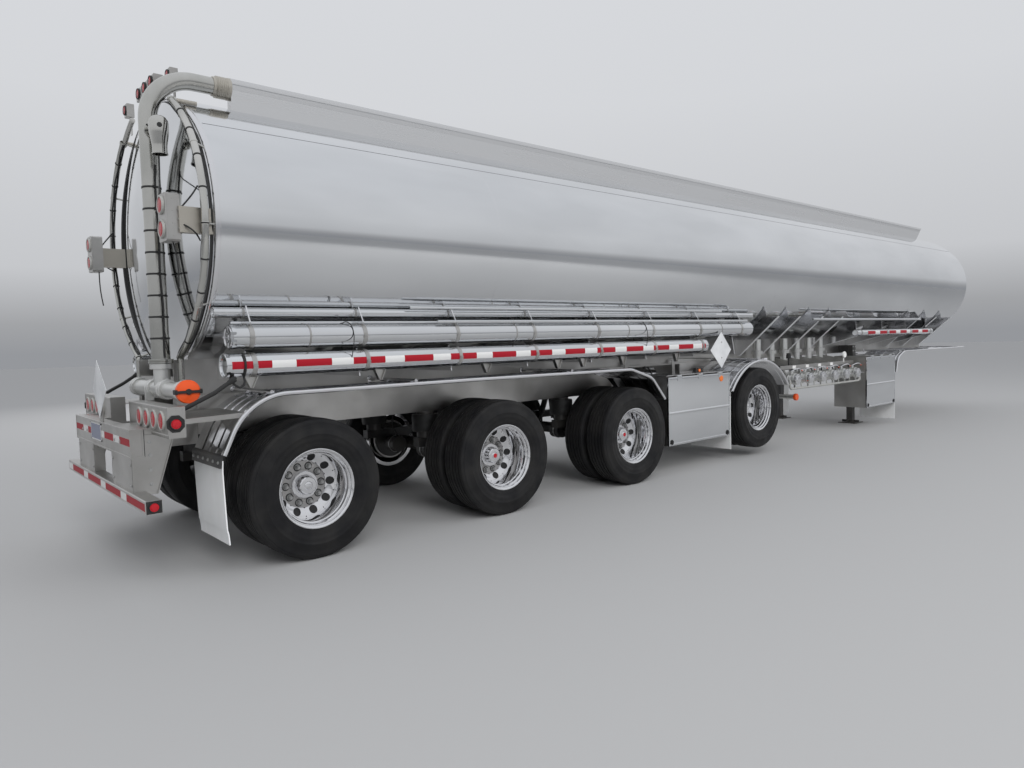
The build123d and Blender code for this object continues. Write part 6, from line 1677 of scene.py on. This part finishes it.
plug = [turned([(0, 0), (0, 0.036), (0.03, 0.036), (0.04, 0.03), (0.046, 0.03), (0.046, 0)],
               (NOSE_X, 0.0, NOSE_Z), AHEAD, 28), blocks([(NOSE_X, -0.03, 1.35, 13.905, 0.03, 1.358)])]
add_parts("plug_socket", plug, black_rubber)
print("underbody done")

# %% [markdown]
# ## Roof
# Six manholes stand on the crown. Each lid carries a raised lip, a ring of bolts, a smaller fill cap
# and a long lever, and they all swing with it. Each neck gets a clamp band with its latch, and each
# vent a domed cap.

# %% Manholes
NECK_TOP = 3.58
lid_pitch = (SHELL[1] - SHELL[0]) / 6
neck_fittings, vent_caps = [], []
for number in range(1, 7):
    x = SHELL[0] + lid_pitch * (number - 0.5)
    body, seat = f"lid_{number}", NECK_TOP + 0.023
    lip = [(seat - 0.003, 0.262), (seat - 0.003, 0.2795), (seat + 0.004, 0.2795), (seat + 0.006, 0.276),
           (seat + 0.006, 0.266), (seat + 0.003, 0.262)]
    cap = [(seat + 0.012, 0.0), (seat + 0.012, 0.118), (seat + 0.02, 0.118), (seat + 0.022, 0.108),
           (seat + 0.034, 0.104), (seat + 0.038, 0.096), (seat + 0.04, 0.03), (seat + 0.04, 0.0)]
    stub = [(seat - 0.002, 0.0), (seat - 0.002, 0.03), (seat + 0.02, 0.03), (seat + 0.024, 0.024),
            (seat + 0.024, 0.0)]
    lid_parts = [turned(lip, (x, 0, 0), UP, 64), turned(cap, (x, 0, 0), UP, 48)]
    lid_parts += [turned(stub, (x - 0.1, side * 0.185, 0), UP, 24) for side in (-1, 1)]
    ring = turn_of(12) + 0.26
    lid_parts += bolts(np.column_stack([x + 0.232 * np.cos(ring), 0.232 * np.sin(ring),
                                        np.full(12, seat - 0.001)]), UP, 0.01, 0.009)
    add_parts(f"lid_fittings_{number}", lid_parts, pale_cast, body, angle=30)
    lever = fillet([(x - 0.105, 0.0, seat + 0.036), (x - 0.09, 0.0, seat + 0.052),
                    (x + 0.16, 0.0, seat + 0.052), (x + 0.27, 0.0, seat + 0.02)], 0.012, 6)
    arms = [tube(lever, 0.0105, 12),
            blocks([(x - 0.115, -0.028, seat + 0.018, x - 0.085, -0.014, seat + 0.05),
                    (x - 0.115, 0.014, seat + 0.018, x - 0.085, 0.028, seat + 0.05)]),
            tube([(x - 0.1, -0.032, seat + 0.04), (x - 0.1, 0.032, seat + 0.04)], 0.006, 10)]
    add_parts(f"lid_lever_{number}", arms, machined, body, angle=40)
    clamp_rows = rectangle(NECK_TOP - 0.016, NECK_TOP - 0.002, 0.284, 0.29)
    neck_fittings.append(turned(clamp_rows, (x, 0, 0), UP, 64))
    neck_fittings.append(blocks([(x + 0.286, -0.03, NECK_TOP - 0.03, x + 0.312, 0.03, NECK_TOP - 0.002)]))
    neck_fittings.append(tube([(x + 0.3, -0.045, NECK_TOP - 0.014), (x + 0.3, 0.045, NECK_TOP - 0.014)], 0.007,
                              10))
    at = x + 0.56
    dome = [(3.6, 0.0), (3.6, 0.104), (3.608, 0.104), (3.618, 0.094), (3.626, 0.066), (3.63, 0.03),
            (3.631, 0.0)]
    vent_caps.append(turned(dome, (at, 0, 0), UP))
    vent_caps.append(turned(disc(-0.006, 0.006, 0.048), (at, -0.486, 3.57), LEFT, 28))
add_parts("neck_bands", neck_fittings, machined, angle=30)
add_parts("vent_caps", vent_caps, pale_cast)
print("roof done")

# %% [markdown]
# ## Floor, light and camera
# The floor is plain and pale. The camera stands where the photographer stood: behind the trailer's
# right rear corner, at head height, with a wide lens.

# %% Floor and world
floor_mesh = bpy.data.meshes.new("floor")
floor_mesh.from_pydata([(-90, -90, 0), (90, -90, 0), (90, 90, 0), (-90, 90, 0)], [], [(0, 1, 2, 3)])
floor = bpy.data.objects.new("floor", floor_mesh)
bpy.context.scene.collection.objects.link(floor)
floor_finish = bpy.data.materials.new("floor_finish")
floor_finish.use_nodes = True
floor_shader = floor_finish.node_tree.nodes["Principled BSDF"]
floor_shader.inputs["Base Color"].default_value = (0.4, 0.4, 0.4, 1)
floor_shader.inputs["Roughness"].default_value = 0.85
floor_mesh.materials.append(floor_finish)

world = bpy.data.worlds.new("studio")
bpy.context.scene.world = world
world.use_nodes = True
nodes, links = world.node_tree.nodes, world.node_tree.links
background = nodes["Background"]
sky_place = nodes.new("ShaderNodeTexCoord")
sky_split = nodes.new("ShaderNodeSeparateXYZ")
sky_ramp = nodes.new("ShaderNodeValToRGB")
links.new(sky_place.outputs["Generated"], sky_split.inputs["Vector"])
links.new(sky_split.outputs["Z"], sky_ramp.inputs["Fac"])
links.new(sky_ramp.outputs["Color"], background.inputs["Color"])
steps = sky_ramp.color_ramp.elements
steps[0].position, steps[0].color = 0.0, (0.3, 0.31, 0.33, 1)
steps[1].position, steps[1].color = 1.0, (0.74, 0.76, 0.8, 1)
for place, tone in ((0.035, 0.36), (0.1, 0.56), (0.3, 0.66)):
    step = steps.new(place)
    step.color = (tone, tone * 1.02, tone * 1.06, 1)
background.inputs["Strength"].default_value = 1.0

# %% Lamps
def lamp(name, place, target, size, power):
    """A large square softbox that looks at a target point."""
    data = bpy.data.lights.new(name, "AREA")
    data.shape, data.size, data.energy = "SQUARE", size, power
    light = bpy.data.objects.new(name, data)
    bpy.context.scene.collection.objects.link(light)
    way = np.array(target, float) - np.array(place, float)
    light.location = place
    light.visible_glossy = False
    light.rotation_euler = Vector(way).to_track_quat("-Z", "Y").to_euler()
    return light


lamp("key", (-10, -14, 11), (-2, 0, 1.5), 9, 1500)
lamp("fill", (6, -14, 9), (3, 0, 1.5), 9, 700)
lamp("far_side", (-1, 15, 10), (0, 0, 1.5), 9, 800)

# %% Camera
EYE, FOCAL, FRAME_WIDTH, SENSOR = (-2.346, -6.186, 1.569), 717.2, 1024, 36
yaw, pitch, roll = (math.radians(a) for a in (49.02, -3.4, -1.56))
ahead = Vector((math.cos(yaw) * math.cos(pitch), math.sin(yaw) * math.cos(pitch), math.sin(pitch)))
level = Vector((math.sin(yaw), -math.cos(yaw), 0))
upright = level.cross(ahead)
right = level * math.cos(roll) + upright * math.sin(roll)
up = upright * math.cos(roll) - level * math.sin(roll)
camera_data = bpy.data.cameras.new("camera")
camera_data.sensor_width, camera_data.lens = SENSOR, FOCAL / FRAME_WIDTH * SENSOR
camera_data.clip_end = 300
camera = bpy.data.objects.new("camera", camera_data)
bpy.context.scene.collection.objects.link(camera)
place = Matrix((right, up, -ahead)).transposed().to_4x4()
place.translation = Vector((EYE[0] - MIDDLE, *EYE[1:]))
camera.matrix_world = place
bpy.context.scene.camera = camera
bpy.context.scene.view_settings.view_transform = "Standard"
